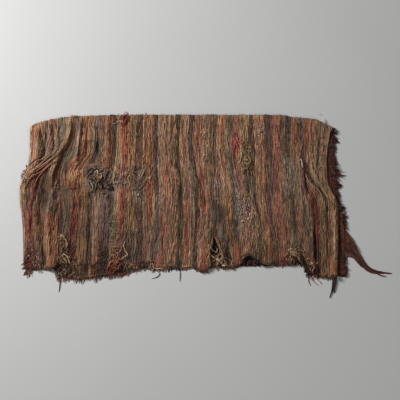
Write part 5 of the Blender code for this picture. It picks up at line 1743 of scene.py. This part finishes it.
chance = np.random.default_rng(87)
row = np.linspace(*BORDER_ROWS, 90)
base = np.arange(0.6, 15.0, 1.15)[:, None]
across = curve(BACK_LEVELS, BACK_RIGHT, row) - base + 0.5 * swell(base * 3, row / 7, 96)
radius = 0.0026 * (0.85 + 0.4 * swell(base * 5, row / 4, 97))
radius[:, 0] *= 0.3
radius[:, -1] *= 0.3
paths = lay(across, row, 0.1 * radius, True)
wools = chosen_wools(BAND_WOOLS, chance, base.shape) + 0 * row[:, None]
run = row * ROW + 0 * base
tone = np.full(run.shape, 0.12)
band = make_yarns(
    "border_band", paths, radius, 0.6 * radius, 20 + 2 * base + 0 * row, run, tone, wools, border_wool, UP, 5
)

route = np.array(TRAILING_ROUTE)
level = measured(route)
share = np.linspace(0, 1, TRAILING_STOPS)
count = (TRAILING_YARNS, 1)
reach = chance.uniform(0.35, 1.0, count) ** 0.6
reach[:3] = 1.0
offset = chance.uniform(-1, 1, count)
chance_of_root = np.clip(chance.normal(-0.1, 0.55, count), -1, 1)
start = 0.16 + 0.2 * chance_of_root
place = start + share * np.maximum(reach - start, 0.15)
line = np.stack([curve(level, route[:, axis], place * level[-1]) for axis in (0, 1)], axis=-1)
heading = np.gradient(line, axis=1)
pace = np.linalg.norm(heading, axis=-1, keepdims=True)
heading /= np.where(pace > 0, pace, 1.0)  # a yarn that still waits at the route's start has no heading
beside = np.stack([-heading[..., 1], heading[..., 0]], axis=-1)
spread = 3.8 * (1 - place) ** 0.9 + 0.4
twist = 1.9 * np.sin(chance.uniform(0, 6, count) + chance.uniform(12, 30, count) * place) * (1 - place)
middle = line + (offset * spread + twist)[..., None] * beside
gathered = ease(share / (0.25 + 0.2 * chance.uniform(0, 1, count)))[..., None]
root_row = TRAILING_ROWS[0] + (0.5 + 0.5 * chance_of_root) * (TRAILING_ROWS[1] - TRAILING_ROWS[0])
root_rib = curve(BACK_LEVELS, BACK_RIGHT, root_row) - 2.0
slack_row = root_row + 14 * share
slack_rib = root_rib + 9 * share + 1.5 * np.sin(chance.uniform(0, 6, count) + 9 * share)
rib_row = np.stack([slack_rib, slack_row], axis=-1) * (1 - gathered) + middle * gathered
radius = 0.0022 * chance.uniform(0.6, 1.2, count) * (1 - 0.7 * share**1.5)
hump = chance.uniform(0, 0.009, count) * np.sin(math.pi * share) * (1 - place)
paths = lay(rib_row[..., 0], rib_row[..., 1], radius + hump, True)
wools = chosen_wools(TRAILING_WOOLS, chance, count) + 0 * share[:, None]
base = 40 + 9 * offset + 0 * share
run = place * level[-1] * RIB + chance.uniform(0, 9, count)
tone = np.full(run.shape, -0.05)
trailing = make_yarns("trailing_lock_yarns", paths, radius, 0.9 * radius, base, run, tone, wools, border_wool)
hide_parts("trailing_lock")

# The floor, the light and the camera.
# A plain pale floor, one large soft lamp from the upper left and a weak one from the front, seen from above
# and a little from the hem, as far off as it takes to see the whole cloth.


def plain_floor():
    """Pale matt floor, a single square far wider than the blanket."""
    size = 14.0
    mesh = bpy.data.meshes.new("floor")
    corners = [(-size, -size, 0), (size, -size, 0), (size, size, 0), (-size, size, 0)]
    mesh.from_pydata(corners, [], [(0, 1, 2, 3)])
    floor = Recipe("pale floor", 0.9, 0.0)
    where = floor.node("ShaderNodeTexCoord", {}, {})[3]
    mottle = floor.noise(where, 1.5)
    colour = floor.mix((0.48, 0.475, 0.465, 1.0), (0.51, 0.505, 0.495, 1.0), mottle)
    mesh.materials.append(floor.finish(colour, mottle, 0.0001))
    ground = bpy.data.objects.new("floor", mesh)
    bpy.context.scene.collection.objects.link(ground)


def soft_lamp(name, place, aim, size, power):
    """A square lamp that faces a point."""
    light = bpy.data.lights.new(name, "AREA")
    light.shape = "SQUARE"
    light.size = size
    light.energy = power
    lamp = bpy.data.objects.new(name, light)
    bpy.context.scene.collection.objects.link(lamp)
    heading = np.array(aim) - np.array(place)
    lamp.location = place
    tilt = math.atan2(math.hypot(*heading[:2]), -heading[2])
    lamp.rotation_euler = (tilt, 0.0, math.atan2(-heading[0], heading[1]))


VIEW_HEIGHT = math.radians(71.3)
VIEW_AIM = (0.09, -0.0238, 0.004)
VIEW_DISTANCE = 20.0
VIEW_WIDTH = 1.8
SENSOR = 36.0

plain_floor()
soft_lamp("key", (-3.4, 2.0, 2.4), (0, 0, 0), 1.4, 326.0)
soft_lamp("fill", (1.5, -2.5, 3.0), (0, 0, 0), 2.5, 24.0)
world = bpy.data.worlds.new("studio")
world.use_nodes = True
world.node_tree.nodes["Background"].inputs["Color"].default_value = (0.9, 0.95, 1.0, 1.0)
world.node_tree.nodes["Background"].inputs["Strength"].default_value = 0.15
bpy.context.scene.world = world
bpy.context.scene.view_settings.view_transform = "Standard"

lens = bpy.data.cameras.new("camera")
lens.sensor_width = SENSOR
lens.lens = SENSOR * VIEW_DISTANCE / VIEW_WIDTH
lens.clip_end = 100.0
camera = bpy.data.objects.new("camera", lens)
bpy.context.scene.collection.objects.link(camera)
back = (0.0, -math.cos(VIEW_HEIGHT), math.sin(VIEW_HEIGHT))
camera.location = [aim + VIEW_DISTANCE * step for aim, step in zip(VIEW_AIM, back)]
camera.rotation_euler = (math.pi / 2 - VIEW_HEIGHT, 0.0, 0.0)
bpy.context.scene.camera = camera
